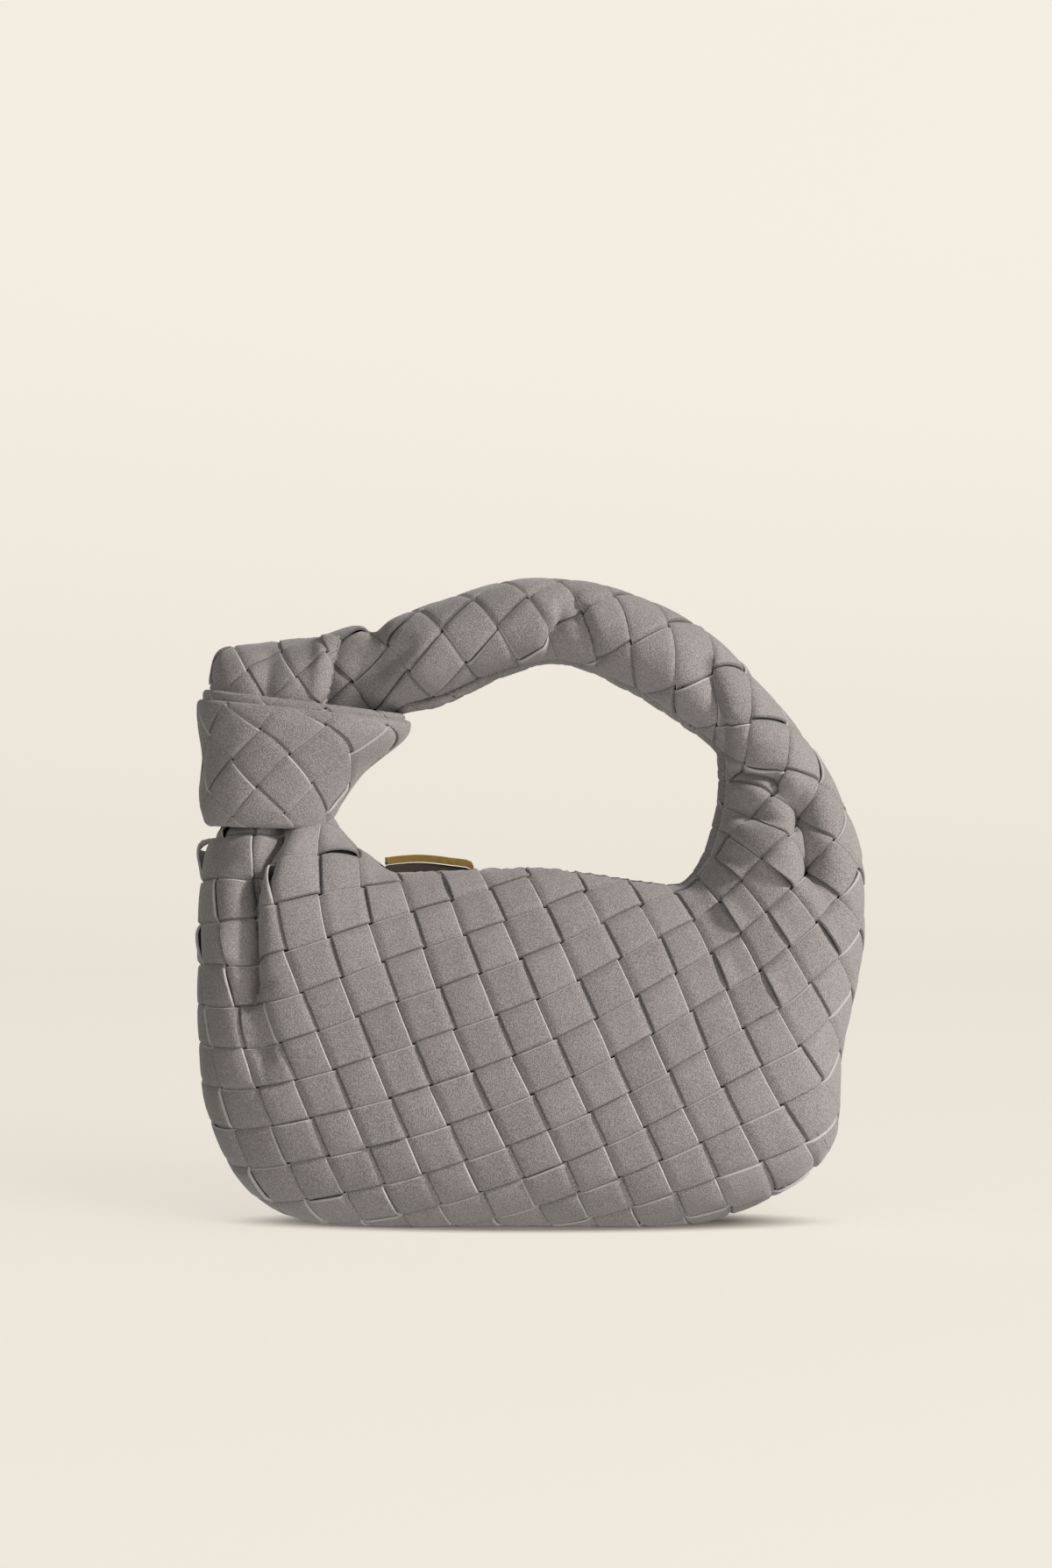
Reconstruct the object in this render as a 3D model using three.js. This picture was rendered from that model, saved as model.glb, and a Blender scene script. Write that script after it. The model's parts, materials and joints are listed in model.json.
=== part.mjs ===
// A small hobo bag of plaited suede strips. A pouch with an open mouth runs out into a neck on the left and
// a handle on the right. The handle arches over the mouth and is tied round the neck in a knot. A brass zip,
// open, follows the two rims of the mouth.
// Millimetres, +Z up, +X to the right as seen from the front, the front facing -Y. The origin is on the
// surface that the bag stands on, under the middle of its outline.
import * as THREE from "three";

// Driving dimensions
const WALL = 2.4; // two plaited layers of suede
const SEAT_GAP = 0.3; // clearance between pieces that touch
const BAND_WALL = 5.6; // the strap folded flat, four layers of suede
const TAPE_WALL = 1.0;
const TAPE_DROP = 9; // how far the zip tape reaches down from its teeth
const TEETH_WIDTH = 2.4;
const TEETH_HEIGHT = 2.6;
const SLIDER = { length: 9, width: 7.4, height: 4.2, endX: 50.8, baseZ: 115.2 };
const BASE_EASE = 0.6; // how softly the walls meet the flat base

// How finely each woven piece is faceted: steps along it and steps round its section.
const FACETS = {
  pouch: { along: 50, round: 28 },
  handle: { along: 40, round: 16 },
  loop: { along: 14, round: 14 },
  band: { round: 40, up: 6 },
  zip: { along: 27 },
};

// Finishes
const SUEDE = { color: 0x8b827e, roughness: 0.95, metalness: 0 };
const BRASS = { color: 0xb08d3a, roughness: 0.3, metalness: 1 };
const TAPE = { color: 0x2e221b, roughness: 0.9, metalness: 0 };

// A table's rows as objects, whose keys are the names of its columns.
function table(columns, rows) {
  const names = columns.split(" ");
  return rows.map((row) => Object.fromEntries(names.map((name, k) => [name, row[k]])));
}

// Sections of the bag from the neck, through the pouch, to the end of the handle. Each is a flattened hoop
// between a point of the inner outline (mouth and handle's underside) and a point of the outer outline:
// depth is its full size from front to back, gap the slit left at the inner point, skew how far its fullest
// part is moved towards the outer point, and shift how far it stands back from the bag's middle plane.
const BAG_ROWS = table("at innerX innerZ outerX outerZ depth gap skew shift", [
  ["neck_top", -79.5, 160, -106, 160.5, 29, 1, 1, 0],
  ["neck_tie", -73.5, 149, -110.6, 150, 34.6, 1, 1, 0],
  ["neck_waist", -78.6, 139.6, -109.3, 141, 31, 1, 1, 0],
  ["neck_flare", -63.6, 135.8, -114.2, 133.6, 45, 1.4, 1.1, 0],
  ["left_shoulder", -55, 129.4, -116.8, 119, 54, 3, 1.2, 0],
  ["mouth_left", -49, 125.4, -117.2, 96, 61, 9, 1.3, 0],
  ["left_side", -42.5, 125, -117.2, 68, 66, 16, 1.4, 0],
  ["left_low", -35.5, 125.2, -113.4, 38, 70, 20, 1.5, 0],
  ["left_corner", -27, 125.2, -98.6, 11, 73, 22, 1.5, 0],
  ["base_left", -15, 125.4, -67, -1.4, 75, 22, 1.5, 0],
  ["base_middle", 5, 125.6, -6, -2, 76, 22, 1.5, 0],
  ["base_right", 26, 123.2, 49, -1.4, 75, 21, 1.5, 0],
  ["right_corner", 43.5, 120.7, 85, 9, 71, 18, 1.5, 0],
  ["right_low", 54, 120.4, 107.6, 28.5, 65, 14, 1.4, 0],
  ["right_side", 59.2, 126.2, 111, 60, 58, 9, 1.3, 0],
  ["right_shoulder", 63.2, 135, 118.4, 97, 50, 5, 1.2, 0],
  ["handle_foot", 66.3, 148, 117.8, 130, 43, 2, 1.1, 0],
  ["shoulder_fold", 67, 159.5, 110.4, 152, 37, 1.2, 1, 0],
  ["right_rise", 65.5, 168, 100.8, 168, 34, 1, 1, 0],
  ["right_bend", 52, 178.5, 84.2, 188.8, 33, 1, 1, 0],
  ["arch_right", 34, 189.4, 61, 211.4, 33, 1, 1, 0],
  ["arch_pinch", 15.5, 197.4, 28.4, 225.8, 32, 1, 1, 0],
  ["arch_top", 1, 197.2, -2, 228.6, 33, 1, 1, 0],
  ["arch_left", -15.5, 190.8, -27.5, 222.2, 33, 1, 1, 0],
  ["left_slope", -32, 183, -47.4, 214.8, 31, 1, 1, 0],
  ["knot_entry", -43, 181.4, -58.5, 205, 28, 1, 1, 3.4],
  ["knot_tuck", -53.5, 179, -67, 194.5, 20, 1, 1, 7.4],
  ["knot_end", -60.5, 172, -73, 181.5, 16, 1, 1, 8.2],
]);
const SPLIT_ROW = "shoulder_fold"; // the handle starts here, in the crease above the shoulder

// Sections of the loop that stands up out of the knot: inner is its hidden foot, outer its top,
// listed from its right end to its left.
const LOOP_ROWS = table("at innerX innerZ outerX outerZ depth gap skew shift", [
  ["right_edge", -62.5, 180, -56.5, 209.5, 7, 3, 1, -13],
  ["right", -66.5, 176.5, -62, 211.4, 14, 6, 1, -12.5],
  ["middle_right", -73, 169, -70.5, 209.4, 20.6, 9, 1, -8.8],
  ["middle", -84.5, 165, -81.5, 207.6, 36.4, 17, 1, -1.2],
  ["middle_left", -96, 165.5, -95.5, 206, 37.6, 17, 1, -0.4],
  ["left", -106.5, 171, -110.2, 203.6, 26, 12, 1, -0.6],
  ["left_end", -110, 181, -114, 192.6, 13, 5, 1, 0],
]);

// Levels of the band that is wound round the neck, from its lower to its upper edge. Each is an oval hoop
// from a left to a right point, with its full size from front to back.
const BAND_ROWS = table("at leftX leftZ rightX rightZ depth", [
  ["lower_edge", -116.2, 141.6, -71, 140.2, 44],
  ["low", -117.3, 153, -66, 150.5, 48],
  ["high", -116.2, 165.5, -57.5, 161.5, 50],
  ["tip", -117.9, 177, -43.8, 172.6, 51],
  ["upper_edge", -119.6, 189.4, -40.6, 179.6, 51],
]);
const BAND_SQUARENESS = 2.5; // exponent of the hoops' ovals, 2 for an ellipse
const BAND_TAPER = 0.16; // how much flatter the hoops are at their right end than at their left

// Creases pressed into the walls: a line in the front view from one point to the other, how deep it is
// (or how high, where it is a roll and its depth is negative), and how wide on the left and on the right of
// that way. A crease marks both the front and the back wall, the back one less.
const CREASES = table("at fromX fromZ toX toZ depth leftWidth rightWidth", [
  ["gusset_top", -86, 139, -97, 119, 5, 6, 3],
  ["gusset", -97, 119, -97, 84, 5.4, 6.5, 3.2],
  ["gusset_foot", -97, 84, -93, 66, 2.4, 6, 4],
  ["neck_right", -74, 136, -72, 122, 1.8, 3, 4.5],
  ["shoulder_flap", 69, 157.6, 87, 156.2, 3, 3, 3.4],
  ["shoulder_turn", 87, 155, 97.5, 146.6, 3.4, 4, 3.4],
  ["shoulder_valley", 98, 146, 100.5, 125, 4.6, 5.5, 4],
  ["shoulder_dent", 100.5, 125, 107, 115, 3, 5, 4.5],
  ["shoulder_nip", 68, 145.4, 95, 141, 3, 6, 2.4],
  ["shoulder_roll", 70, 136.5, 89, 134, -2.2, 6, 6],
  ["bend_crease", 69, 168, 67, 190, 3, 4.5, 4.5],
  ["arch_pinch", 13, 195, 14.5, 215, 4, 5, 5],
  ["knot_recess", -57, 193, -45, 203, 3.6, 5, 5],
  ["loop_hollow", -93, 186, -92, 203, 3.2, 4, 5],
]);
const BACK_SHARE = 0.6;

// Stations of the zip from its left to its right end: how far each row of teeth stands from the middle plane,
// and the height of the top of the teeth in the back and the front row.
const ZIP_ROWS = table("x half backTop frontTop", [
  [-51, 1.9, 129.6, 125],
  [-46, 4, 130.2, 124.2],
  [-38.5, 6, 130.5, 123.8],
  [-28, 7.4, 129.4, 124.1],
  [-20.6, 7.8, 127.9, 124.2],
  [-18.8, 7.8, 123.6, 124.2],
  [3, 7.9, 122.4, 124],
  [26, 7, 119.8, 121.4],
  [42, 5.4, 118.4, 119.2],
  [50, 2.4, 118.4, 118.4],
]);

// A smooth curve through one value or point of every row.
function curveThrough(rows, pick, kind = "catmullrom") {
  return new THREE.CatmullRomCurve3(rows.map(pick), false, kind, 0.5);
}

// The curves that a table of sections gives.
function sheetOf(rows) {
  return {
    inner: curveThrough(rows, (r) => new THREE.Vector3(r.innerX, r.shift, r.innerZ)),
    outer: curveThrough(rows, (r) => new THREE.Vector3(r.outerX, r.shift, r.outerZ)),
    form: curveThrough(rows, (r) => new THREE.Vector3(r.depth, r.gap, r.skew)),
  };
}

// The smooth wall before creasing. along runs from 0 at the first section to 1 at the last, and round from -1
// at the front rim, over 0 at the outer outline, to 1 at the back rim.
function smoothPoint(sheet, along, round) {
  const form = sheet.form.getPoint(along);
  const half = form.x / 2;
  const slit = Math.asin(form.y / 2 / half);
  const turn = round * (Math.PI - slit);
  const share = Math.pow((1 - Math.cos(turn)) / (1 + Math.cos(slit)), form.z);
  const point = sheet.outer.getPoint(along).lerp(sheet.inner.getPoint(along), share);
  point.y += half * Math.sin(turn);
  return point;
}

// The wall's outward direction, from two short steps on the smooth wall.
function outward(sheet, along, round) {
  const step = 1e-3;
  const from = (a, r) => smoothPoint(sheet, THREE.MathUtils.clamp(a, 0, 1), THREE.MathUtils.clamp(r, -1, 1));
  const lengthwise = from(along + step, round).sub(from(along - step, round));
  const crosswise = from(along, round + step).sub(from(along, round - step));
  return crosswise.cross(lengthwise).normalize();
}

// How deep the creases press in at a point of a wall.
function creaseDepth(point, onBack) {
  let depth = 0;
  for (const crease of CREASES) {
    const run = new THREE.Vector2(crease.toX - crease.fromX, crease.toZ - crease.fromZ);
    const off = new THREE.Vector2(point.x - crease.fromX, point.z - crease.fromZ);
    const share = THREE.MathUtils.clamp(off.dot(run) / run.lengthSq(), 0, 1);
    const width = run.cross(off) > 0 ? crease.leftWidth : crease.rightWidth;
    const distance = off.addScaledVector(run, -share).length();
    depth += crease.depth * Math.exp(-((distance / width) ** 2));
  }
  return onBack ? depth * BACK_SHARE : depth;
}

// Keeps a height above a floor, easing into it.
function above(floor, height) {
  const over = height - floor;
  if (over > BASE_EASE) return height;
  if (over < -BASE_EASE) return floor;
  return floor + (over + BASE_EASE) ** 2 / (4 * BASE_EASE);
}

// A point of the finished wall: its outer face where inset is 0, its inner face where inset is the wall's
// thickness.
function wallPoint(sheet, along, round, inset) {
  const point = smoothPoint(sheet, along, round);
  const press = creaseDepth(point, point.y > 0) * Math.abs(Math.sin(round * Math.PI));
  point.addScaledVector(outward(sheet, along, round), -press - inset);
  point.z = above(inset, point.z);
  return point;
}

// A closed geometry from a grid of points, grid[i][j]. Both ways round can be closed on themselves.
function gridFaces(rows, columns, index, flip) {
  const faces = [];
  for (let i = 0; i < rows; i++) {
    for (let j = 0; j < columns; j++) {
      const corners = [index(i, j), index(i + 1, j), index(i + 1, j + 1), index(i, j + 1)];
      const [a, b, c, d] = flip ? corners.reverse() : corners;
      faces.push(a, b, c, a, c, d);
    }
  }
  return faces;
}

function geometryOf(points, faces) {
  const geometry = new THREE.BufferGeometry().setFromPoints(points);
  geometry.setIndex(faces);
  geometry.computeVertexNormals();
  return geometry;
}

// A wall of even thickness: the outer and inner faces of a sheet between two places along it, joined at the
// rims and the ends.
function wallGeometry(sheet, from, to, steps) {
  const { along, round } = steps;
  const points = [];
  for (const inset of [0, WALL]) {
    for (let i = 0; i <= along; i++) {
      for (let j = 0; j <= round; j++) {
        points.push(wallPoint(sheet, from + ((to - from) * i) / along, (2 * j) / round - 1, inset));
      }
    }
  }
  const outer = (i, j) => i * (round + 1) + j;
  const inner = (i, j) => outer(i, j) + (along + 1) * (round + 1);
  const end = (i) => (side, j) => (side ? inner(i, j) : outer(i, j));
  const rim = (j) => (side, i) => (side ? inner(i, j) : outer(i, j));
  return geometryOf(points, [
    ...gridFaces(along, round, outer, true),
    ...gridFaces(along, round, inner, false),
    ...gridFaces(1, round, end(0), false),
    ...gridFaces(1, round, end(along), true),
    ...gridFaces(1, along, rim(0), true),
    ...gridFaces(1, along, rim(round), false),
  ]);
}

// A point of the knot's band. turn goes once round the neck, up runs from the lower to the upper edge, and
// inset leads from the outer face into the band.
function bandPoint(curves, turn, up, inset) {
  const left = curves.left.getPoint(up);
  const right = curves.right.getPoint(up);
  const oval = (c) => Math.sign(c) * Math.pow(Math.abs(c), 2 / BAND_SQUARENESS);
  const across = oval(Math.cos(turn));
  const length = right.distanceTo(left) / 2;
  const depth = curves.depth.getPoint(up).x / 2;
  const point = left.clone().lerp(right, 0.5 + (0.5 * across * (length - inset)) / length);
  point.y = (depth * (1 - (BAND_TAPER * across) / 2) - inset) * oval(Math.sin(turn));
  return point;
}

// The band is a flat ring with rounded edges: up its outer face, over the upper edge, down its inner face.
function bandGeometry() {
  const curves = {
    left: curveThrough(BAND_ROWS, (r) => new THREE.Vector3(r.leftX, 0, r.leftZ)),
    right: curveThrough(BAND_ROWS, (r) => new THREE.Vector3(r.rightX, 0, r.rightZ)),
    depth: curveThrough(BAND_ROWS, (r) => new THREE.Vector3(r.depth, 0, 0)),
  };
  const { round, up } = FACETS.band;
  const edge = 0.05; // share of the height taken by each rounded edge
  const profile = [];
  for (let k = 0; k <= up; k++) profile.push({ up: edge + ((1 - 2 * edge) * k) / up, inset: 0 });
  profile.push({ up: 1, inset: BAND_WALL / 2 });
  for (let k = up; k >= 0; k--) profile.push({ up: edge + ((1 - 2 * edge) * k) / up, inset: BAND_WALL });
  profile.push({ up: 0, inset: BAND_WALL / 2 });
  const points = [];
  for (let i = 0; i < round; i++) {
    for (const p of profile) points.push(bandPoint(curves, (2 * Math.PI * i) / round, p.up, p.inset));
  }
  const index = (i, j) => (i % round) * profile.length + (j % profile.length);
  return geometryOf(points, gridFaces(round, profile.length, index, false));
}

// A bar of rectangular section that follows one row of the zip. low and high are measured from the top of the
// teeth.
function zipBar(side, width, low, high) {
  const top = side > 0 ? "backTop" : "frontTop";
  const line = curveThrough(ZIP_ROWS, (r) => new THREE.Vector3(r.x, side * r.half, r[top]), "centripetal");
  const steps = FACETS.zip.along;
  const corners = [[-1, low], [1, low], [1, high], [-1, high]];
  const points = [];
  for (let i = 0; i <= steps; i++) {
    const middle = line.getPoint(i / steps);
    const across = line.getTangent(i / steps).cross(new THREE.Vector3(0, 0, 1)).normalize();
    for (const [edge, height] of corners) {
      points.push(middle.clone().addScaledVector(across, (edge * width) / 2).setZ(middle.z + height));
    }
  }
  const index = (i, j) => i * corners.length + (j % corners.length);
  const last = steps * corners.length;
  return geometryOf(points, [
    ...gridFaces(steps, corners.length, index, false),
    ...[0, 1, 2, 0, 2, 3],
    ...[last, last + 2, last + 1, last, last + 3, last + 2],
  ]);
}

// The slider straddles the closed right end of the zip: a flat block with a tapered nose.
function sliderGeometry() {
  const outline = new THREE.Shape();
  const { length, width } = SLIDER;
  outline.moveTo(0, -width / 2);
  outline.lineTo(length * 0.6, -width / 2);
  outline.lineTo(length, -width / 4);
  outline.lineTo(length, width / 4);
  outline.lineTo(length * 0.6, width / 2);
  outline.lineTo(0, width / 2);
  outline.closePath();
  return new THREE.ExtrudeGeometry(outline, { depth: SLIDER.height, bevelEnabled: false });
}

function addPiece(group, name, geometry, finish) {
  const mesh = new THREE.Mesh(geometry, new THREE.MeshStandardMaterial(finish));
  mesh.name = name;
  group.add(mesh);
  return mesh;
}

const bag = new THREE.Group();
const bagSheet = sheetOf(BAG_ROWS);
const split = BAG_ROWS.findIndex((r) => r.at === SPLIT_ROW) / (BAG_ROWS.length - 1);
const splitRun = bagSheet.inner.getPoint(split + 1e-3).distanceTo(bagSheet.inner.getPoint(split)) / 1e-3;
addPiece(bag, "pouch", wallGeometry(bagSheet, 0, split, FACETS.pouch), SUEDE);
addPiece(bag, "handle", wallGeometry(bagSheet, split + (1.6 * SEAT_GAP) / splitRun, 1, FACETS.handle), SUEDE);
addPiece(bag, "knot_loop", wallGeometry(sheetOf(LOOP_ROWS), 0, 1, FACETS.loop), SUEDE);
addPiece(bag, "knot_band", bandGeometry(), SUEDE);

for (const [name, side] of [["front", -1], ["back", 1]]) {
  const tapeTop = -TEETH_HEIGHT - SEAT_GAP;
  addPiece(bag, `zip_tape_${name}`, zipBar(side, TAPE_WALL, tapeTop - TAPE_DROP, tapeTop), TAPE);
  addPiece(bag, `zip_teeth_${name}`, zipBar(side, TEETH_WIDTH, -TEETH_HEIGHT, 0), BRASS);
}
const slider = addPiece(bag, "zip_slider", sliderGeometry(), BRASS);
slider.position.set(SLIDER.endX, 0, SLIDER.baseZ);

export default bag;
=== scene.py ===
"""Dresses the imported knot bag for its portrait: plaited suede, lining, zip, and a cream studio sweep.

The skins that the strips lie on follow the same tables of sections as the solids of the part, in millimetres.
Everything that is made here is in metres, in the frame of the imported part.
"""

import json
from collections import namedtuple

import bmesh
import bpy
import numpy as np
from bpy.props import FloatProperty, FloatVectorProperty, IntProperty, PointerProperty
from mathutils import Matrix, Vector

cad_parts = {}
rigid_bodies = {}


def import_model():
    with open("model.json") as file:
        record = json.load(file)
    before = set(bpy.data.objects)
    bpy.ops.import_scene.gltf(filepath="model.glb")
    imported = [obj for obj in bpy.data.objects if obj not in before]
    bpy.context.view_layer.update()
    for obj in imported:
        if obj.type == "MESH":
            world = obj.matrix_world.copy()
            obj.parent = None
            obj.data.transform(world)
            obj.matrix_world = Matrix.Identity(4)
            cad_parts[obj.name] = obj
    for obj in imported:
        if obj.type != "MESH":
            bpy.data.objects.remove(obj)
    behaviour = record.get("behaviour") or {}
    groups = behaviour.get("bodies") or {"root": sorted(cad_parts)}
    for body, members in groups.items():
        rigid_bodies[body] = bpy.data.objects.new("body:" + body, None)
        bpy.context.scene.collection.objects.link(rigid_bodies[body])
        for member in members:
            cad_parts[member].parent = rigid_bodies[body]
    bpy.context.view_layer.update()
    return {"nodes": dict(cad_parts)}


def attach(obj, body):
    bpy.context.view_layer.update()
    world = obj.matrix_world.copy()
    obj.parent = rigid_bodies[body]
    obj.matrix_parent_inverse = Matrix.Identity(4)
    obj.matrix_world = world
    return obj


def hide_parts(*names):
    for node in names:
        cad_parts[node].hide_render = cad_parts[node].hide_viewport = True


bl_info = {
    "name": "Plaited knot bag",
    "version": (1, 0, 0),
    "blender": (4, 5, 0),
    "location": "View3D > Sidebar > Knot bag",
    "description": "Plaits suede strips over a knot bag and sets up its portrait",
    "category": "Object",
}

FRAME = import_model()

MM = 0.001


def table(row_type, rows):
    """Rows with named columns."""
    return [row_type(*row) for row in rows]



# Sections of the bag from the neck, through the pouch, to the end of the handle, as in the solids. inner is a
# point of the mouth or the handle's underside, and outer one of the outline. lip says how far the back rim
# stands out beyond the front one.
Section = namedtuple(
    "Section", "name inner_x inner_z outer_x outer_z depth gap skew shift lip", defaults=(0.0, 0.0)
)
BAG_SECTIONS = table(Section, [
    ("neck_top", -79.5, 160.0, -106.0, 160.5, 29.0, 1.0, 1.0),
    ("neck_tie", -73.5, 149.0, -110.6, 150.0, 34.6, 1.0, 1.0),
    ("neck_waist", -70.8, 145.6, -109.3, 141.0, 31.0, 1.0, 1.0),
    ("neck_flare", -63.6, 135.8, -114.2, 133.6, 45.0, 1.4, 1.1),
    ("left_shoulder", -55.0, 129.4, -116.8, 119.0, 54.0, 3.0, 1.2),
    ("mouth_left", -49.0, 125.4, -117.2, 96.0, 61.0, 9.0, 1.3),
    ("left_side", -42.5, 125.0, -117.2, 68.0, 66.0, 16.0, 1.4),
    ("left_low", -35.5, 125.2, -113.4, 38.0, 70.0, 20.0, 1.5),
    ("left_corner", -27.0, 125.2, -98.6, 11.0, 73.0, 22.0, 1.5),
    ("base_left", -15.0, 125.4, -67.0, -1.4, 75.0, 22.0, 1.5),
    ("base_middle", 5.0, 125.6, -6.0, -2.0, 76.0, 22.0, 1.5),
    ("base_right", 26.0, 123.2, 49.0, -1.4, 75.0, 21.0, 1.5),
    ("right_corner", 43.5, 120.7, 85.0, 9.0, 71.0, 18.0, 1.5),
    ("right_low", 54.0, 120.4, 107.6, 28.5, 65.0, 14.0, 1.4),
    ("right_side", 59.2, 126.2, 111.0, 60.0, 58.0, 9.0, 1.3, 0.0, 1.4),
    ("right_shoulder", 63.2, 135.0, 118.4, 97.0, 50.0, 5.0, 1.2, 0.0, 2.2),
    ("handle_foot", 66.3, 148.0, 117.8, 130.0, 43.0, 2.0, 1.1, 0.0, 2.4),
    ("shoulder_fold", 67.0, 159.5, 110.4, 152.0, 37.0, 1.2, 1.0, 0.0, 2.4),
    ("right_rise", 65.5, 168.0, 100.8, 168.0, 34.0, 1.0, 1.0, 0.0, 2.2),
    ("right_bend", 52.0, 178.5, 84.2, 188.8, 33.0, 1.0, 1.0, 0.0, 2.0),
    ("arch_right", 34.0, 189.4, 61.0, 211.4, 33.0, 1.0, 1.0, 0.0, 2.0),
    ("arch_pinch", 15.5, 197.4, 28.4, 225.8, 32.0, 1.0, 1.0, 0.0, 1.5),
    ("arch_top", 1.0, 197.2, -2.0, 228.6, 33.0, 1.0, 1.0, 0.0, 1.5),
    ("arch_left", -15.5, 190.8, -27.5, 222.2, 33.0, 1.0, 1.0, 0.0, 3.0),
    ("left_slope", -32.0, 183.0, -47.4, 214.8, 31.0, 1.0, 1.0, 0.0, 4.0),
    ("knot_entry", -43.0, 181.4, -55.5, 209.6, 28.0, 1.0, 1.0, 3.0, 3.0),
    ("knot_tuck", -53.5, 177.8, -63.5, 211.8, 24.0, 1.0, 1.0, 5.0),
    ("knot_end", -72.0, 170.0, -88.0, 203.0, 18.0, 1.0, 1.0, 5.0),
])

# Sections of the fold that the knot's loop shows, from its right edge to its left end.
LOOP_SECTIONS = table(Section, [
    ("flap_edge", -72.0, 180.5, -66.0, 208.8, 4.6, 0.8, 1.0, -13.4),
    ("flap", -76.0, 172.0, -72.4, 208.9, 15.0, 6.0, 1.0, -11.8),
    ("middle_right", -80.0, 167.0, -77.0, 208.0, 26.0, 10.0, 1.0, -6.0),
    ("middle", -87.0, 165.0, -85.0, 207.3, 37.0, 17.0, 1.0, -1.0),
    ("middle_left", -96.0, 165.5, -95.5, 206.0, 37.6, 17.0, 1.0, -0.4),
    ("left", -106.5, 171.0, -110.2, 203.6, 26.0, 12.0, 1.0, -0.6),
    ("left_end", -111.0, 182.0, -114.4, 192.0, 5.0, 0.8, 1.0),
])

# Levels of the band wound round the neck, from its lower to its upper edge.
Level = namedtuple("Level", "name left_x left_z right_x right_z depth")
BAND_LEVELS = table(Level, [
    ("lower_edge", -116.2, 141.6, -71.0, 140.2, 44.0),
    ("low", -117.3, 153.0, -66.0, 150.5, 48.0),
    ("high", -116.2, 165.5, -57.5, 161.5, 50.0),
    ("tip", -117.9, 177.0, -43.8, 172.6, 51.0),
    ("upper_edge", -119.6, 189.4, -40.6, 179.6, 51.0),
])
BAND_SQUARENESS = 2.5
BAND_TAPER = 0.16
BAND_HEIGHT = 44.0
BAND_TURNS = (-0.4, 1.4)  # it starts behind and goes round almost twice
BAND_STEPS = 361
BAND_FACE_STEPS = 30
BAND_TUCK = (16.0, 12.0, 8.0, 4.0)  # how far the strips go on behind the edges
BAND_CALM = 4.0  # how far from its edges the band's weave gets lively
BAND_CELL = 20.0  # height of a diamond of the plait
BAND_TILT = 0.105  # rise of a row of diamonds to the right
BAND_REPEATS = 10  # diamonds once round the band

# Layers of the band: the heights of its edges as shares, how deep its face lies and how far its edges roll.
Layer = namedtuple("Layer", "low high inset roll")
BAND_FACE = Layer(0.0, 0.925, 1.2, 1.7)
BAND_LIP = Layer(0.62, 1.0, 3.9, 1.2)

# Creases pressed into the walls, as in the solids, each from one point of the front view to another, with its
# width on the left and on the right of that way.
Crease = namedtuple("Crease", "name from_x from_z to_x to_z depth left_width right_width")
CREASES = table(Crease, [
    ("gusset_top", -86.0, 140.0, -96.5, 119.0, 9.0, 2.6, 5.0),
    ("gusset", -96.5, 119.0, -96.0, 84.0, 9.0, 2.6, 6.0),
    ("gusset_foot", -96.0, 84.0, -92.0, 62.0, 3.4, 4.0, 6.0),
    ("neck_right", -74.0, 136.0, -72.0, 122.0, 1.8, 3.0, 4.5),
    ("shoulder_flap", 72.0, 159.8, 87.0, 158.6, 9.0, 1.8, 2.6),
    ("shoulder_turn", 87.0, 154.0, 97.5, 146.6, 4.6, 5.0, 4.0),
    ("shoulder_valley", 97.0, 147.0, 100.0, 126.0, 8.5, 6.0, 5.0),
    ("shoulder_dent", 100.5, 125.0, 107.0, 115.0, 3.2, 6.0, 5.0),
    ("shoulder_nip", 67.0, 145.0, 92.0, 141.0, 5.6, 7.0, 1.8),
    ("shoulder_roll", 70.0, 136.5, 86.0, 134.0, -2.6, 6.0, 6.0),
    ("bend_crease", 69.0, 168.0, 66.0, 195.0, 5.0, 7.0, 2.2),
    ("arch_pinch", 5.5, 196.0, 9.0, 213.0, 6.0, 1.4, 6.0),
    ("arch_tuck", 25.5, 197.0, 19.0, 219.0, 4.0, 6.0, 1.4),
    ("knot_recess", -57.0, 193.0, -45.0, 203.0, 3.6, 5.0, 5.0),
    ("loop_hollow", -93.0, 186.0, -92.0, 203.0, 3.2, 4.0, 5.0),
])
BACK_SHARE = 0.6  # of a crease's depth, on the back

# Directions of the rising strips at places of the front view, in degrees.
Place = namedtuple("Place", "x z deg")
BAG_PLACES = table(Place, [
    (-94.0, 150.0, 5),
    (-94.0, 128.0, 5),
    (-114.0, 92.0, -3),
    (-112.0, 45.0, -4),
    (-82.0, 104.0, 14),
    (-64.0, 92.0, 16),
    (-32.0, 76.0, 18),
    (-1.0, 76.0, 21),
    (30.0, 76.0, 25),
    (61.0, 92.0, 30),
    (80.0, 107.0, 36),
    (102.0, 107.0, 45),
    (93.0, 138.0, 57),
    (86.0, 170.0, 78),
    (55.0, 201.0, 100),
    (30.0, 213.0, 115),
    (14.5, 216.0, 125),
    (-32.0, 204.0, 136),
    (-48.0, 195.0, 138),
    (-64.0, 13.0, 13),
    (-1.0, 7.0, 14),
    (61.0, 16.0, 20),
    (108.0, 45.0, 38),
])
LOOP_PLACES = [Place(-85.0, 190.0, 45)]

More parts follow.
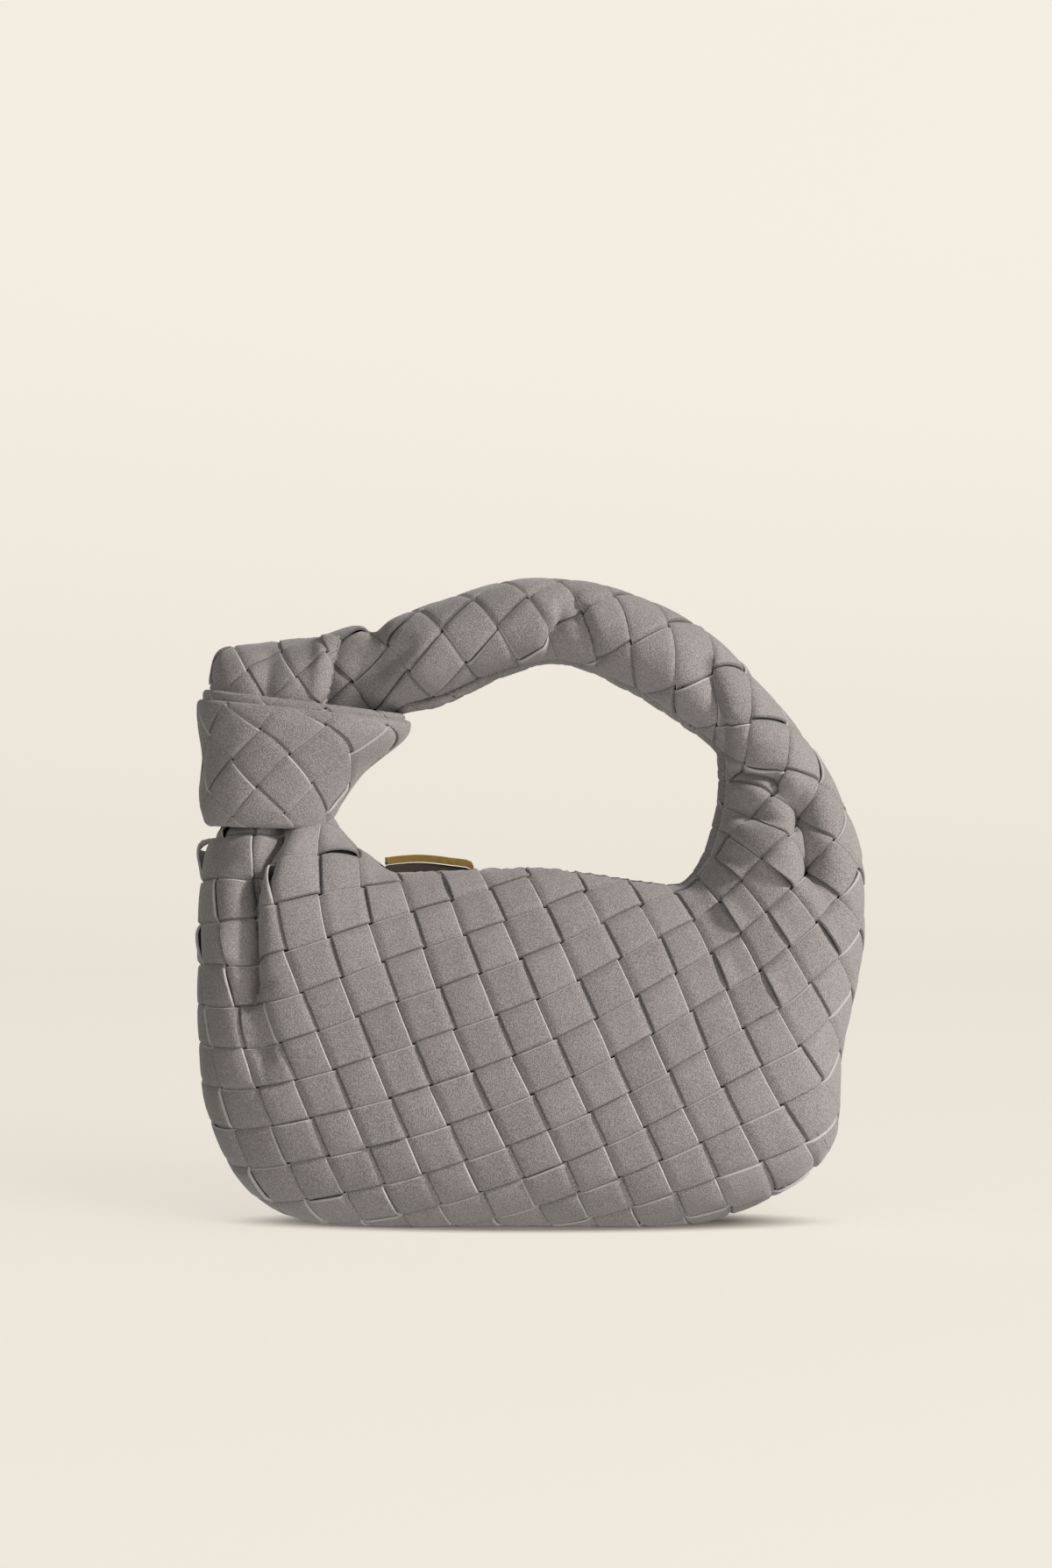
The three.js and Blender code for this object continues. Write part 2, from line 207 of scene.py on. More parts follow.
# Crossings of the plait on the front: the numbers of the crossing strip's and the rising strip's edges that
# meet there, and the place in the middle plane where the camera sees them.
Crossing = namedtuple("Crossing", "u v x z")
CROSSINGS = table(Crossing, [
    (-7, 1, -111.5, 61.0),
    (-7, -2, -97.5, 21.0),
    (-6, 2, -106.5, 76.0),
    (-6, -3, -80.0, 8.0),
    (-5, 3, -95.0, 93.0),
    (-5, 0, -84.0, 49.0),
    (-4, 5, -90.0, 126.0),
    (-4, 2, -80.0, 83.0),
    (-4, -2, -58.5, 25.5),
    (-3, 4, -73.5, 115.5),
    (-3, 0, -55.5, 58.0),
    (-2, 4, -60.5, 121.0),
    (-2, 2, -52.0, 91.5),
    (-2, -1, -35.0, 48.0),
    (-2, -4, -16.5, 10.0),
    (0, 4, -31.5, 123.0),
    (0, 2, -22.5, 103.0),
    (0, 0, -11.5, 74.0),
    (0, -2, 1.0, 45.5),
    (0, -5, 18.0, 11.0),
    (2, 3, 0.0, 121.5),
    (2, 1, 11.0, 100.5),
    (2, -1, 23.5, 72.0),
    (2, -3, 36.5, 44.5),
    (2, -6, 51.0, 11.5),
    (4, 1, 38.5, 112.5),
    (4, -1, 52.0, 86.0),
    (4, -3, 64.5, 59.5),
    (4, -5, 76.0, 34.5),
    (5, 0, 59.0, 108.5),
    (6, -2, 81.5, 89.5),
    (6, -4, 94.0, 65.0),
    (7, 0, 81.0, 123.0),
    (8, -2, 98.5, 104.5),
    (8, -4, 114.5, 82.0),
    (9, 1, 81.5, 142.5),
    (9, -1, 99.5, 126.0),
    (11, 0, 102.5, 155.0),
    (11, 2, 73.5, 161.0),
    (12, 1, 92.0, 175.0),
    (12, 3, 68.5, 180.5),
    (13, 2, 79.0, 193.0),
    (13, 4, 51.5, 191.0),
    (14, 5, 35.5, 206.5),
    (15, 5, 32.5, 220.5),
    (15, 7, 8.0, 211.0),
    (16, 7, -1.5, 222.0),
    (16, 9, -22.0, 199.0),
    (17, 8, -23.0, 219.5),
    (17, 10, -43.5, 197.0),
    (18, 9, -44.0, 216.0),
    (18, 11, -62.5, 192.0),
])

BAND_CROSSINGS = table(Crossing, [
    (0, 1, -85.5, 166.6),
    (0, 2, -95.5, 175.0),
    (-1, 2, -104.8, 164.4),
    (-1, 1, -96.1, 155.0),
    (1, 1, -75.5, 177.5),
    (0, 0, -75.8, 156.3),
    (1, 0, -64.2, 166.9),
    (0, 3, -107.3, 184.4),
    (-1, 3, -112.7, 172.8),
    (-2, 1, -106.7, 144.1),
    (-2, 2, -114.2, 154.1),
    (-1, 0, -86.1, 145.0),
])
LOOP_CROSSINGS = table(Crossing, [
    (0, 0, -99.8, 193.1),
    (1, 0, -89.1, 203.8),
    (1, -1, -83.6, 194.7),
    (0, -1, -94.2, 186.9),
    (0, 1, -105.3, 204.7),
    (2, -1, -71.7, 200.6),
])

# Edges of strips that stand up, on the front: the strip's family, the side of the strip, and the place.
LooseEdge = namedtuple("LooseEdge", "family side x z height")
LOOSE_EDGES = table(LooseEdge, [
    ("crossing", 1, -93.3, 127.5, 3.0),
    ("crossing", 1, -108.5, 131.0, 3.4),
    ("crossing", 1, -116.0, 133.0, 2.4),
    ("crossing", 1, -103.0, 114.0, 2.4),
    ("crossing", 1, -117.0, 100.6, 2.2),
    ("crossing", -1, -104.0, 98.0, 2.4),
    ("crossing", 1, -107.0, 83.0, 1.6),
    ("crossing", -1, -30.0, 118.0, 1.0),
    ("crossing", -1, 75.0, 128.0, 2.6),
    ("crossing", -1, 74.0, 109.5, 2.6),
    ("crossing", -1, 90.0, 122.0, 1.8),
    ("crossing", -1, 86.5, 102.0, 1.8),
    ("crossing", -1, 104.0, 99.0, 2.0),
    ("crossing", -1, 68.0, 87.0, 1.6),
    ("crossing", -1, 85.5, 82.0, 1.6),
    ("rising", -1, -67.0, 129.0, 2.2),
    ("rising", -1, -79.5, 135.0, 2.0),
])
LOOSE_REACH = 7.0  # how far along a strip its edge stands up

WALL = 2.4
BASE_EASE = 0.6  # how softly the walls flatten at the base
SLIT_SHARE = 0.9  # the widest slit, as a share of the depth
OUTLINE_TURN = 0.004  # from the outline to a second column of points beside it, as a share of half a turn
RIM_RADIUS = 1.8  # of the fold where the strips turn over the rim
RIM_ANGLES = (22, 45, 68, 90, 112, 135, 158, 180)
RIM_TUCK = (2.0, 4.5, 7.0, 9.5)  # how far they then go down inside
RIM_LEAN = 0.1  # how far they lean inwards on that way
RIM_COLUMNS = len(RIM_ANGLES) + len(RIM_TUCK)
RIM_FADE = 3.0  # columns of the face over which the calm of the rim ends
FIELD_REACH = 20.0  # how far the directions measured on the front hold
FIELD_FACING = 0.35  # how far a wall faces the front where they begin to count
PLACE_EASE = 6.0  # how softly one place's direction blends into the next
SOLVE_STEPS = 4000
SOLVE_ENOUGH = 1e-11
ALIGN_REACH = 4.0  # how far a crossing's correction holds, in strips
ALIGN_EASE = 0.02  # how much of a correction may be left open
EYE = np.array([-1.1, -1500.0, 155.8])  # the camera
ROW_STEPS = 8  # steps of a skin between two sections
ROUND_STEPS = 128
LOOP_ROUND_STEPS = 64
LINING_INSET = 2.2
LINING_WALL = 0.5
LINING_REACH = 0.98  # how far up the lining goes, as a share of the way round


class PlaitSizes(bpy.types.PropertyGroup):
    """Sizes of the suede strips and of their weave."""

    pitch: FloatProperty(
        name="Pitch", description="Distance between strips", default=0.0152, unit="LENGTH"
    )
    rising_width: FloatProperty(
        name="Rising width", description="Rising strips, as a share of the pitch", default=0.965, max=1.0
    )
    crossing_width: FloatProperty(
        name="Crossing width", description="Crossing strips, in shares of the pitch", default=0.91, max=1.0
    )
    knot_width: FloatProperty(
        name="Knot width", description="The knot's strips, as a share of the pitch", default=0.955, max=1.0
    )
    thickness: FloatProperty(
        name="Thickness", description="Thickness of the suede", default=0.0011, unit="LENGTH"
    )
    wave: FloatProperty(
        name="Wave", description="How far a strip goes over and under", default=0.00095, unit="LENGTH"
    )
    knot_wave: FloatProperty(
        name="Knot wave", description="The same for the knot's strips", default=0.0006, unit="LENGTH"
    )
    sharpness: FloatProperty(
        name="Sharpness", description="How suddenly a strip dives under its neighbour", default=4.0
    )
    crown: FloatProperty(
        name="Crown", description="Rise of a strip's middle above its edges", default=0.00025, unit="LENGTH"
    )
    bevel: FloatProperty(
        name="Bevel", description="How far a strip's cut edges slope down", default=0.0006, unit="LENGTH"
    )
    lift: FloatProperty(
        name="Lift", description="How far chance loose edges stand up", default=0.0006, unit="LENGTH"
    )
    wander: FloatProperty(
        name="Wander", description="Sideways wander of the strips, in pitches", default=0.035
    )
    seed: IntProperty(name="Seed", description="Choice of loose edges", default=7)


class Finishes(bpy.types.PropertyGroup):
    """Colours of the bag's materials."""

    nap: FloatVectorProperty(
        name="Suede", description="Of the suede's nap", subtype="COLOR", default=(0.222, 0.201, 0.192)
    )
    # Paler colour of the strips' cut edges, laid on one side of each strip only: partly their own colour,
    # partly a painted highlight.
    cut_edge_highlight: FloatVectorProperty(
        name="Cut edge and highlight", description="Of the strips", subtype="COLOR", default=(0.40, 0.372, 0.355)
    )
    lining: FloatVectorProperty(
        name="Lining", description="Of lining and zip tape", subtype="COLOR", default=(0.030, 0.020, 0.014)
    )
    brass: FloatVectorProperty(
        name="Brass", description="Of the zip's teeth", subtype="COLOR", default=(0.37, 0.245, 0.075)
    )


class StageSettings(bpy.types.PropertyGroup):
    """The sweep, the lights and the camera."""

    sweep: FloatVectorProperty(
        name="Sweep", description="Of floor and backdrop", subtype="COLOR", default=(0.88, 0.828, 0.745)
    )
    key: FloatProperty(name="Key", description="Power of the key light", default=40.0, unit="POWER")
    dome: FloatProperty(name="Dome", description="Brightness of the dome of light", default=0.2)
    camera_distance: FloatProperty(
        name="Camera distance", description="From the bag's middle plane", default=1.5, unit="LENGTH"
    )
    camera_height: FloatProperty(
        name="Camera height", description="Height of the level camera", default=0.1558, unit="LENGTH"
    )
    lens: FloatProperty(name="Lens", description="Focal length in millimetres", default=96.6)


class Sock:
    """An output socket in a node tree. Arithmetic on it adds Math nodes."""

    def __init__(self, nodes, socket):
        self.nodes = nodes
        self.socket = socket

    def __add__(self, other):
        return self.nodes.math("ADD", self, other)

    def __sub__(self, other):
        return self.nodes.math("SUBTRACT", self, other)

    def __mul__(self, other):
        return self.nodes.math("MULTIPLY", self, other)

    def __truediv__(self, other):
        return self.nodes.math("DIVIDE", self, other)

    def __pow__(self, other):
        return self.nodes.math("POWER", self, other)

    def __rsub__(self, other):
        return self.nodes.math("SUBTRACT", other, self)

    def __rtruediv__(self, other):
        return self.nodes.math("DIVIDE", other, self)

    def __neg__(self):
        return self.nodes.math("MULTIPLY", self, -1.0)

    __radd__ = __add__
    __rmul__ = __mul__


class NodeSet:
    """Adds nodes to a tree."""

    def __init__(self, tree):
        self.tree = tree

    def add(self, kind, settings=None, inputs=None, out=0):
        """A node of that type, its settings made first, then its inputs. Returns one output or all."""
        node = self.tree.nodes.new(kind)
        for name, value in (settings or {}).items():
            setattr(node, name, value)
        for name, value in (inputs or {}).items():
            socket = node.inputs[name]
            if isinstance(value, Sock):
                self.tree.links.new(value.socket, socket)
            elif isinstance(value, list):
                for one in value:
                    self.tree.links.new(one.socket, socket)
            else:
                socket.default_value = value
        if out is None:
            return [Sock(self, socket) for socket in node.outputs]
        return Sock(self, node.outputs[out])

    def math(self, operation, *values):
        """A Math node on sockets and numbers."""
        return self.add("ShaderNodeMath", {"operation": operation}, dict(enumerate(values)))

    def smooth(self, value, low, high):
        """0 where value is under low, 1 where it is over high, and an eased step between them."""
        settings = {"interpolation_type": "SMOOTHSTEP"}
        inputs = {"Value": value, "From Min": low, "From Max": high}
        return self.add("ShaderNodeMapRange", settings, inputs)

    def mix(self, factor, first, second):
        """A mix of two colours."""
        inputs = {"Factor": factor, 6: first, 7: second}
        return self.add("ShaderNodeMix", {"data_type": "RGBA"}, inputs, out=2)

    def parts(self, vector):
        """The three parts of a vector."""
        return self.add("ShaderNodeSeparateXYZ", inputs={0: vector}, out=None)

    def vector(self, **parts):
        """A vector of the parts X, Y and Z that are given."""
        return self.add("ShaderNodeCombineXYZ", inputs=parts)

    def scaled(self, vector, scale):
        """A vector or a colour, times a number."""
        return self.add("ShaderNodeVectorMath", {"operation": "SCALE"}, {0: vector, "Scale": scale})

    def compare(self, operation, value, limit):
        """Whether a number is on one side of a limit."""
        return self.add("FunctionNodeCompare", {"operation": operation}, {0: value, 1: limit})

    def stored(self, name, kind="FLOAT"):
        """What a mesh stores under a name."""
        return self.add("GeometryNodeInputNamedAttribute", {"data_type": kind}, {"Name": name})

    def store(self, mesh, **values):
        """A mesh that stores numbers at its points."""
        settings = {"data_type": "FLOAT", "domain": "POINT"}
        for name, value in values.items():
            inputs = {"Geometry": mesh, "Name": name, "Value": value}
            mesh = self.add("GeometryNodeStoreNamedAttribute", settings, inputs)
        return mesh

    def bump(self, height, strength, distance):
        """The direction of a surface with a height on it."""
        inputs = {"Strength": strength, "Distance": distance, "Height": height}
        return self.add("ShaderNodeBump", inputs=inputs, out="Normal")

    def surface(self, inputs):
        """Ends a material's tree with a Principled BSDF."""
        shader = self.add("ShaderNodeBsdfPrincipled", inputs=inputs)
        self.add("ShaderNodeOutputMaterial", inputs={"Surface": shader}, out=None)


def rgba(colour):
    """A colour with full alpha."""
    return (*colour, 1.0)


def spline(rows, steps):
    """A uniform Catmull-Rom spline through the rows of an array, at steps from 0 to 1."""
    rows = np.asarray(rows, float)
    padded = np.vstack([2 * rows[0] - rows[1], rows, 2 * rows[-1] - rows[-2]])
    place = np.clip(steps, 0.0, 1.0) * (len(rows) - 1)
    first = np.minimum(place.astype(int), len(rows) - 2)
    t = (place - first)[:, None]
    a, b, c, d = (padded[first + k] for k in range(4))
    return 0.5 * (
        2 * b + (c - a) * t + (2 * a - 5 * b + 4 * c - d) * t**2 + (3 * b - a - 3 * c + d) * t**3
    )


def unit(vectors):
    """Vectors of length 1."""
    return vectors / np.maximum(np.linalg.norm(vectors, axis=-1, keepdims=True), 1e-12)


def grid_normals(points):
    """Outward directions of a grid whose first way runs along a wall and whose second runs round it."""
    return unit(np.cross(np.gradient(points, axis=1), np.gradient(points, axis=0)))


def crease_depth(points):
    """How deep the creases press in at each point."""
    depth = np.zeros(points.shape[:2])
    for crease in CREASES:
        start = np.array([crease.from_x, crease.from_z])
        run = np.array([crease.to_x, crease.to_z]) - start
        off = points[..., [0, 2]] - start
        share = np.clip(off @ run / (run @ run), 0.0, 1.0)
        on_left = run[0] * off[..., 1] - run[1] * off[..., 0] > 0
        width = np.where(on_left, crease.left_width, crease.right_width)
        distance = np.linalg.norm(off - share[..., None] * run, axis=-1)
        depth += crease.depth * np.exp(-((distance / width) ** 2))
    return np.where(points[..., 1] > 0, depth * BACK_SHARE, depth)


def above(floor, height):
    """Heights kept above a floor, easing into it."""
    over = height - floor
    eased = (over + BASE_EASE) ** 2 / (4 * BASE_EASE)
    return floor + np.where(over > BASE_EASE, over, np.where(over < -BASE_EASE, 0.0, eased))


def wall_grid(sections, inset, widen=0.0, reach=1.0, round_steps=ROUND_STEPS):
    """A grid of points on a wall, inset below its outer face. widen opens the slit, and reach ends it."""
    table = np.array([row[1:] for row in sections])
    along = np.linspace(0.0, 1.0, (len(sections) - 1) * ROW_STEPS + 1)
    turn_share = np.sort(np.append(np.linspace(-reach, reach, round_steps + 1), OUTLINE_TURN))
    inner_x, inner_z, outer_x, outer_z, depth, gap, skew, shift, lip = (
        column[:, None] for column in spline(table, along).T
    )
    half = depth / 2
    slit = np.arcsin(np.minimum((gap + widen) / 2 / half, SLIT_SHARE))
    turn = turn_share[None, :] * (np.pi - slit)
    share = ((1 - np.cos(turn)) / (1 + np.cos(slit))) ** skew
    short = lip / np.hypot(inner_x - outer_x, inner_z - outer_z)
    share = share * np.where(turn_share[None, :] < 0, 1 - short, 1.0)
    points = np.stack(
        [
            outer_x + (inner_x - outer_x) * share,
            shift + half * np.sin(turn),
            outer_z + (inner_z - outer_z) * share,
        ],
        axis=-1,
    )
    normals = grid_normals(points)
    press = crease_depth(points) * np.abs(np.sin(turn_share * np.pi))[None, :]
    points = points - normals * (press + inset)[..., None]
    points[..., 2] = above(inset, points[..., 2])
    return points


def rolled_rim(points, column, neighbour):
    """The columns that fold over one rim of a grid and go down inside, nearest the rim first."""
    normals = grid_normals(points)[:, column]
    rim = points[:, column]
    ahead = unit(rim - points[:, neighbour])
    ahead = unit(ahead - normals * np.sum(ahead * normals, axis=-1, keepdims=True))
    columns = []
    for angle in np.radians(RIM_ANGLES):
        columns.append(rim + ahead * RIM_RADIUS * np.sin(angle) - normals * RIM_RADIUS * (1 - np.cos(angle)))
    for tuck in RIM_TUCK:
        columns.append(rim - normals * (2 * RIM_RADIUS + RIM_LEAN * tuck) - ahead * tuck)
    return columns


def with_rims(points):
    """A grid with both rims folded over."""
    front = rolled_rim(points, 0, 1)
    back = rolled_rim(points, -1, -2)
    return np.concatenate([np.stack(front[::-1], axis=1), points, np.stack(back, axis=1)], axis=1)


def grid_quads(index):
    """The faces of a grid of numbered points."""
    return np.stack([index[:-1, :-1], index[:-1, 1:], index[1:, 1:], index[1:, :-1]], axis=-1)


# Part of a skin: its points, their lattice coordinates, which of its faces are whole, the rows of the points,
# and how calm the weave is there, from 0 to 1.
Patch = namedtuple("Patch", "points lattice whole row calm")


class Skin:
    """A grid of points on a wall in millimetres, and what it takes to lay a lattice of strips out on it.

    The first way of the grid runs along the wall and the second runs round it.
    """

    def __init__(self, points, calm=0.0):
        self.points = points
        self.calm = np.zeros(points.shape[:2]) + calm
        self.normals = grid_normals(points)
        ahead = np.gradient(points, axis=0)
        self.ahead = unit(ahead - self.normals * dot(ahead, self.normals)[..., None])
        self.side = np.cross(self.normals, self.ahead)
        self.whole = np.ones((points.shape[0] - 1, points.shape[1] - 1), bool)
        self.edges = [self.grid_edges(axis) for axis in (0, 1)]
        spread = []
        for first, last, length in self.edges:
            total = np.zeros(points.shape[:2])
            total[first] += length / 2
            total[last] += length / 2
            spread.append(total)
        self.area = spread[0] * spread[1]
        self.weights = [
            (spread[1 - axis][first] + spread[1 - axis][last]) / 2 / np.maximum(length, 1e-3)
            for axis, (first, last, length) in enumerate(self.edges)
        ]

    def grid_edges(self, axis):
        """The two ends of the grid's edges one way, as slices, and their lengths."""
        every = slice(None)
        first = (slice(None, -1), every) if axis == 0 else (every, slice(None, -1))
        last = (slice(1, None), every) if axis == 0 else (every, slice(1, None))
        return first, last, np.linalg.norm(self.points[last] - self.points[first], axis=-1)

    def cut(self, rows, column):
        """Cuts the grid open along a column, between it and the next one, over a range of rows."""
        self.weights[1][rows[0] : rows[1] + 1, column] = 0.0
        self.whole[rows[0] : rows[1], column] = False

    def gather(self, flows, turns=None):
        """What flows along the edges bring to each point."""
        total = np.zeros(self.points.shape[:2], complex)
        for axis, flow in enumerate(flows):
            first, last, _ = self.edges[axis]
            total[last] += flow
            total[first] -= flow if turns is None else np.conj(turns[axis]) * flow
        return total

    def solve(self, apply, wanted, extra=0.0):
        """A complex number z at each point with apply(z) = wanted, found by conjugate gradients."""
        scale = np.zeros(self.points.shape[:2]) + extra
        for (first, last, _), weight in zip(self.edges, self.weights):
            scale[first] += weight
            scale[last] += weight
        z = np.zeros_like(wanted)
        rest = wanted.copy()
        ready = rest / scale
        way = ready.copy()
        power = np.vdot(rest, ready).real
        enough = power * SOLVE_ENOUGH
        for _ in range(SOLVE_STEPS):
            moved = apply(way)
            share = power / np.vdot(way, moved).real
            z += share * way
            rest -= share * moved
            ready = rest / scale
            new_power = np.vdot(rest, ready).real
            if new_power < enough:
                break
            way = ready + way * (new_power / power)
            power = new_power
        return z

    def strip_field(self, places):
        """Directions of the rising strips, as the table has them in front and carried on smoothly from there.

        A direction is a complex number in the frame of the point's ahead and side directions.
        """
        turns = []
        for first, last, _ in self.edges:
            turn = dot(self.ahead[first], self.ahead[last]) + 1j * dot(self.ahead[first], self.side[last])
            turns.append(turn / np.maximum(np.abs(turn), 1e-9))
        angle = np.radians(blend_places(self.points[..., 0], self.points[..., 2], places))
        known = np.stack([np.cos(angle), np.zeros_like(angle), np.sin(angle)], axis=-1)
        known = unit(known - self.normals * dot(known, self.normals)[..., None])
        known = dot(known, self.ahead) + 1j * dot(known, self.side)
        facing = np.clip((-self.normals[..., 1] - FIELD_FACING) / FIELD_FACING, 0.0, 1.0)
        inside = np.ones(self.points.shape[1])
        inside[:RIM_COLUMNS] = inside[-RIM_COLUMNS:] = 0.0
        trust = facing * inside * self.area / FIELD_REACH**2

        def apply(f):
            flows = [
                weight * (f[last] - turn * f[first])
                for (first, last, _), weight, turn in zip(self.edges, self.weights, turns)
            ]
            return self.gather(flows, turns) + trust * f

        field = self.solve(apply, trust * known, trust)
        return field / np.maximum(np.abs(field), 1e-9)

    def lay_out(self, field, pitch):
        """Lattice coordinates in strip pitches, whose steps along the edges fit the strips' directions best.

        They are the two parts of one complex number.
        """
        rising = self.ahead * field.real[..., None] + self.side * field.imag[..., None]
        crossing = np.cross(self.normals, rising)
        steps = []
        for first, last, _ in self.edges:
            edge = self.points[last] - self.points[first]
            u_step = dot(edge, rising[first] + rising[last])
            v_step = dot(edge, crossing[first] + crossing[last])
            steps.append((u_step + 1j * v_step) / (2 * pitch))

        def apply(z):
            edges = zip(self.edges, self.weights)
            return self.gather([weight * (z[last] - z[first]) for (first, last, _), weight in edges])

        return self.solve(apply, self.gather([weight * step for weight, step in zip(self.weights, steps)]))

    def between_rims(self):
        """Which faces are whole and lie between the folded rims."""
        usable = self.whole.copy()
        usable[:, :RIM_COLUMNS] = False
        usable[:, -RIM_COLUMNS:] = False
        return usable

    def patch(self, lattice, columns=slice(None)):
        """Some of the grid's columns, with a lattice."""
        row = np.arange(len(self.points))[:, None] + np.zeros(self.points.shape[1])
        first, last, _ = columns.indices(self.points.shape[1])
        whole = self.whole[:, first : last - 1]
        points, calm = self.points[:, columns], self.calm[:, columns]
        return Patch(points, lattice[:, columns], whole, row[:, columns], calm)

    def pages(self, lattice, column):
        """A wall's front up to a column, and its back, which carries the front's lattice as a mirror image.

        The back's lattice is moved aside by an even number of strips, so that no place of it is on both.
        """
        front = slice(0, column + 2)
        apart = 2 * int(np.ptp(lattice[:, front].real) / 2 + 2)
        return [self.patch(lattice, front), self.patch(lattice[:, ::-1] + apart, slice(column, None))]


def rim_calm(columns):
    """How calm the weave is over the columns of a grid with rims."""
    inside = np.minimum(np.arange(columns), np.arange(columns)[::-1]) - RIM_COLUMNS
    return 1.0 - np.clip(inside / RIM_FADE, 0.0, 1.0)


def dot(a, b):
    """Products of vectors."""
    return np.sum(a * b, axis=-1)


def blend_places(x, z, places):
    """Degrees at points of the front view, blended from a table of places."""
    total = np.zeros_like(x)
    weights = np.zeros_like(x)
    for place in places:
        weight = 1.0 / ((x - place.x) ** 2 + (z - place.z) ** 2 + PLACE_EASE**2) ** 2
        total += weight * place.deg
        weights += weight
    return total / weights


def loose_heights(points, family, calm):
    """How far the edges of a family's strips stand up at points, on a strip's two sides, and the calm."""
    flat = seen(points)
    heights = np.zeros((len(points), 3))
    for edge in LOOSE_EDGES:
        if edge.family == family:
            distance = np.hypot(flat[:, 0] - edge.x, flat[:, 1] - edge.z)
            heights[:, 0 if edge.side > 0 else 1] += edge.height * np.exp(-((distance / LOOSE_REACH) ** 2))
    heights = np.where(points[:, 1:2] < 0, heights, 0.0) * MM
    heights[:, 2] = calm
    return heights


def skin_object(name, patches):
    """A mesh of a skin's patches, with what the strips need to know of it as attributes."""
    faces = []
    count = 0
    for patch in patches:
        index = count + np.arange(patch.row.size).reshape(patch.row.shape)
        faces.append(grid_quads(index)[patch.whole])
        count += patch.row.size
    points = np.concatenate([patch.points.reshape(-1, 3) for patch in patches])
    lattice = np.concatenate([patch.lattice.reshape(-1) for patch in patches])
    row = np.concatenate([patch.row.reshape(-1) for patch in patches])
    calm = np.concatenate([patch.calm.reshape(-1) for patch in patches])
    mesh = bpy.data.meshes.new(name)
    mesh.from_pydata((points * MM).tolist(), [], np.concatenate(faces).tolist())
    values = {
        "lattice": np.stack([lattice.real / LATTICE_SPAN, lattice.imag / LATTICE_SPAN, row], axis=-1),
        "loose_rising": loose_heights(points, "rising", calm),
        "loose_crossing": loose_heights(points, "crossing", calm),
    }
    for key, vectors in values.items():
        attribute = mesh.attributes.new(key, "FLOAT_VECTOR", "POINT")
        attribute.data.foreach_set("vector", vectors.astype(np.float32).ravel())
    mesh.shade_smooth()
    obj = bpy.data.objects.new(name, mesh)
    bpy.context.scene.collection.objects.link(obj)
    return obj


def shell_object(name, outer, inner, material):
    """A closed thin wall between two grids of points in millimetres."""
    rows, columns = outer.shape[:2]
    index = np.arange(rows * columns).reshape(rows, columns)
    below = rows * columns
    face = grid_quads(index).reshape(-1, 4)
    border = np.concatenate([index[0, :-1], index[:-1, -1], index[-1, :0:-1], index[:0:-1, 0]])
    after = np.roll(border, -1)
    rim = np.stack([after, border, border + below, after + below], axis=-1)
    quads = [face, face[:, [0, 3, 2, 1]] + below, rim]
    mesh = bpy.data.meshes.new(name)
    points = np.concatenate([outer.reshape(-1, 3), inner.reshape(-1, 3)]) * MM
    mesh.from_pydata(points.tolist(), [], np.concatenate(quads).tolist())
    mesh.shade_smooth()
    mesh.materials.append(material)
    obj = bpy.data.objects.new(name, mesh)
    bpy.context.scene.collection.objects.link(obj)
    return obj


def plait_tree(values):
    """The Geometry Nodes tree that plaits two families of strips onto a skin, with these values as inputs."""
    tree = bpy.data.node_groups.get("Plait strips")
    if tree:
        return tree
    tree = bpy.data.node_groups.new("Plait strips", "GeometryNodeTree")
    face = tree.interface
    face.new_socket("Geometry", in_out="OUTPUT", socket_type="NodeSocketGeometry")
    face.new_socket("Geometry", in_out="INPUT", socket_type="NodeSocketGeometry")
    for name, value in values.items():
        face.new_socket(name, in_out="INPUT", socket_type=INPUT_SOCKETS[type(value)])
    nodes = NodeSet(tree)
    given = {sock.socket.name: sock for sock in nodes.add("NodeGroupInput", out=None)}
    families = [plait_family(nodes, given, rising) for rising in (True, False)]
    strips = nodes.add("GeometryNodeJoinGeometry", inputs={0: families})
    strips = nodes.add("GeometryNodeRealizeInstances", inputs={0: strips})
    strips = nodes.add("GeometryNodeSetMaterial", inputs={0: strips, "Material": given["Suede"]})
    nodes.add("NodeGroupOutput", inputs={0: strips}, out=None)
    return tree


INPUT_SOCKETS = {int: "NodeSocketInt", float: "NodeSocketFloat", bpy.types.Material: "NodeSocketMaterial"}

# Stretches of the bag, each with the solid that it stands for, the section that it ends at, the steps of a
# strip's length in one crossing, and the points across a strip, three on each side near its edge.
Stretch = namedtuple("Stretch", "name node end steps points")
STRETCHES = table(Stretch, [
    ("woven_neck", "pouch", "left_side", 12, 14),
    ("woven_pouch", "pouch", "right_low", 10, 8),
    ("woven_shoulder", "pouch", "shoulder_fold", 12, 14),
    ("woven_handle", "handle", "knot_end", 16, 12),
])
LAP = 0.8  # how far two stretches lap over each other, in rows of the skin
KNOT_STEPS = 14
KNOT_POINTS = 20
EDGE_PLACE = 0.9  # where the points close to the edge begin, as a share of half the width
BEVEL_START = 0.93  # where the bevel of a strip's edge begins, as a share of half its width
CALMED = 0.85  # how much of the wave a calm rim takes away
TILT = 0.6  # how much of the lift tilts a strip between two crossings
LOOSE_LEFT = 0.78  # chance numbers over this loosen a strip's left edge
LOOSE_RIGHT = 0.82  # and those as far from 0 its right one
FAMILY_STEP = 37.0  # between the chance numbers of the two families
DRIFT_ALONG, DRIFT_STRIP, DRIFT_SEED = 0.55, 3.1, 5.3  # steps of the noise that makes strips wander
SHARP_FOLD = 0.7  # the angle from which an edge of a strip is drawn sharp
MERGE_REACH = 1e-5
LOWEST = (-9.0, -9.0, 0.0002)  # no strip goes below the floor
LATTICE_SPAN = 64.0  # strips in one unit of the lattice as the nodes sample it, which is quickest near 1


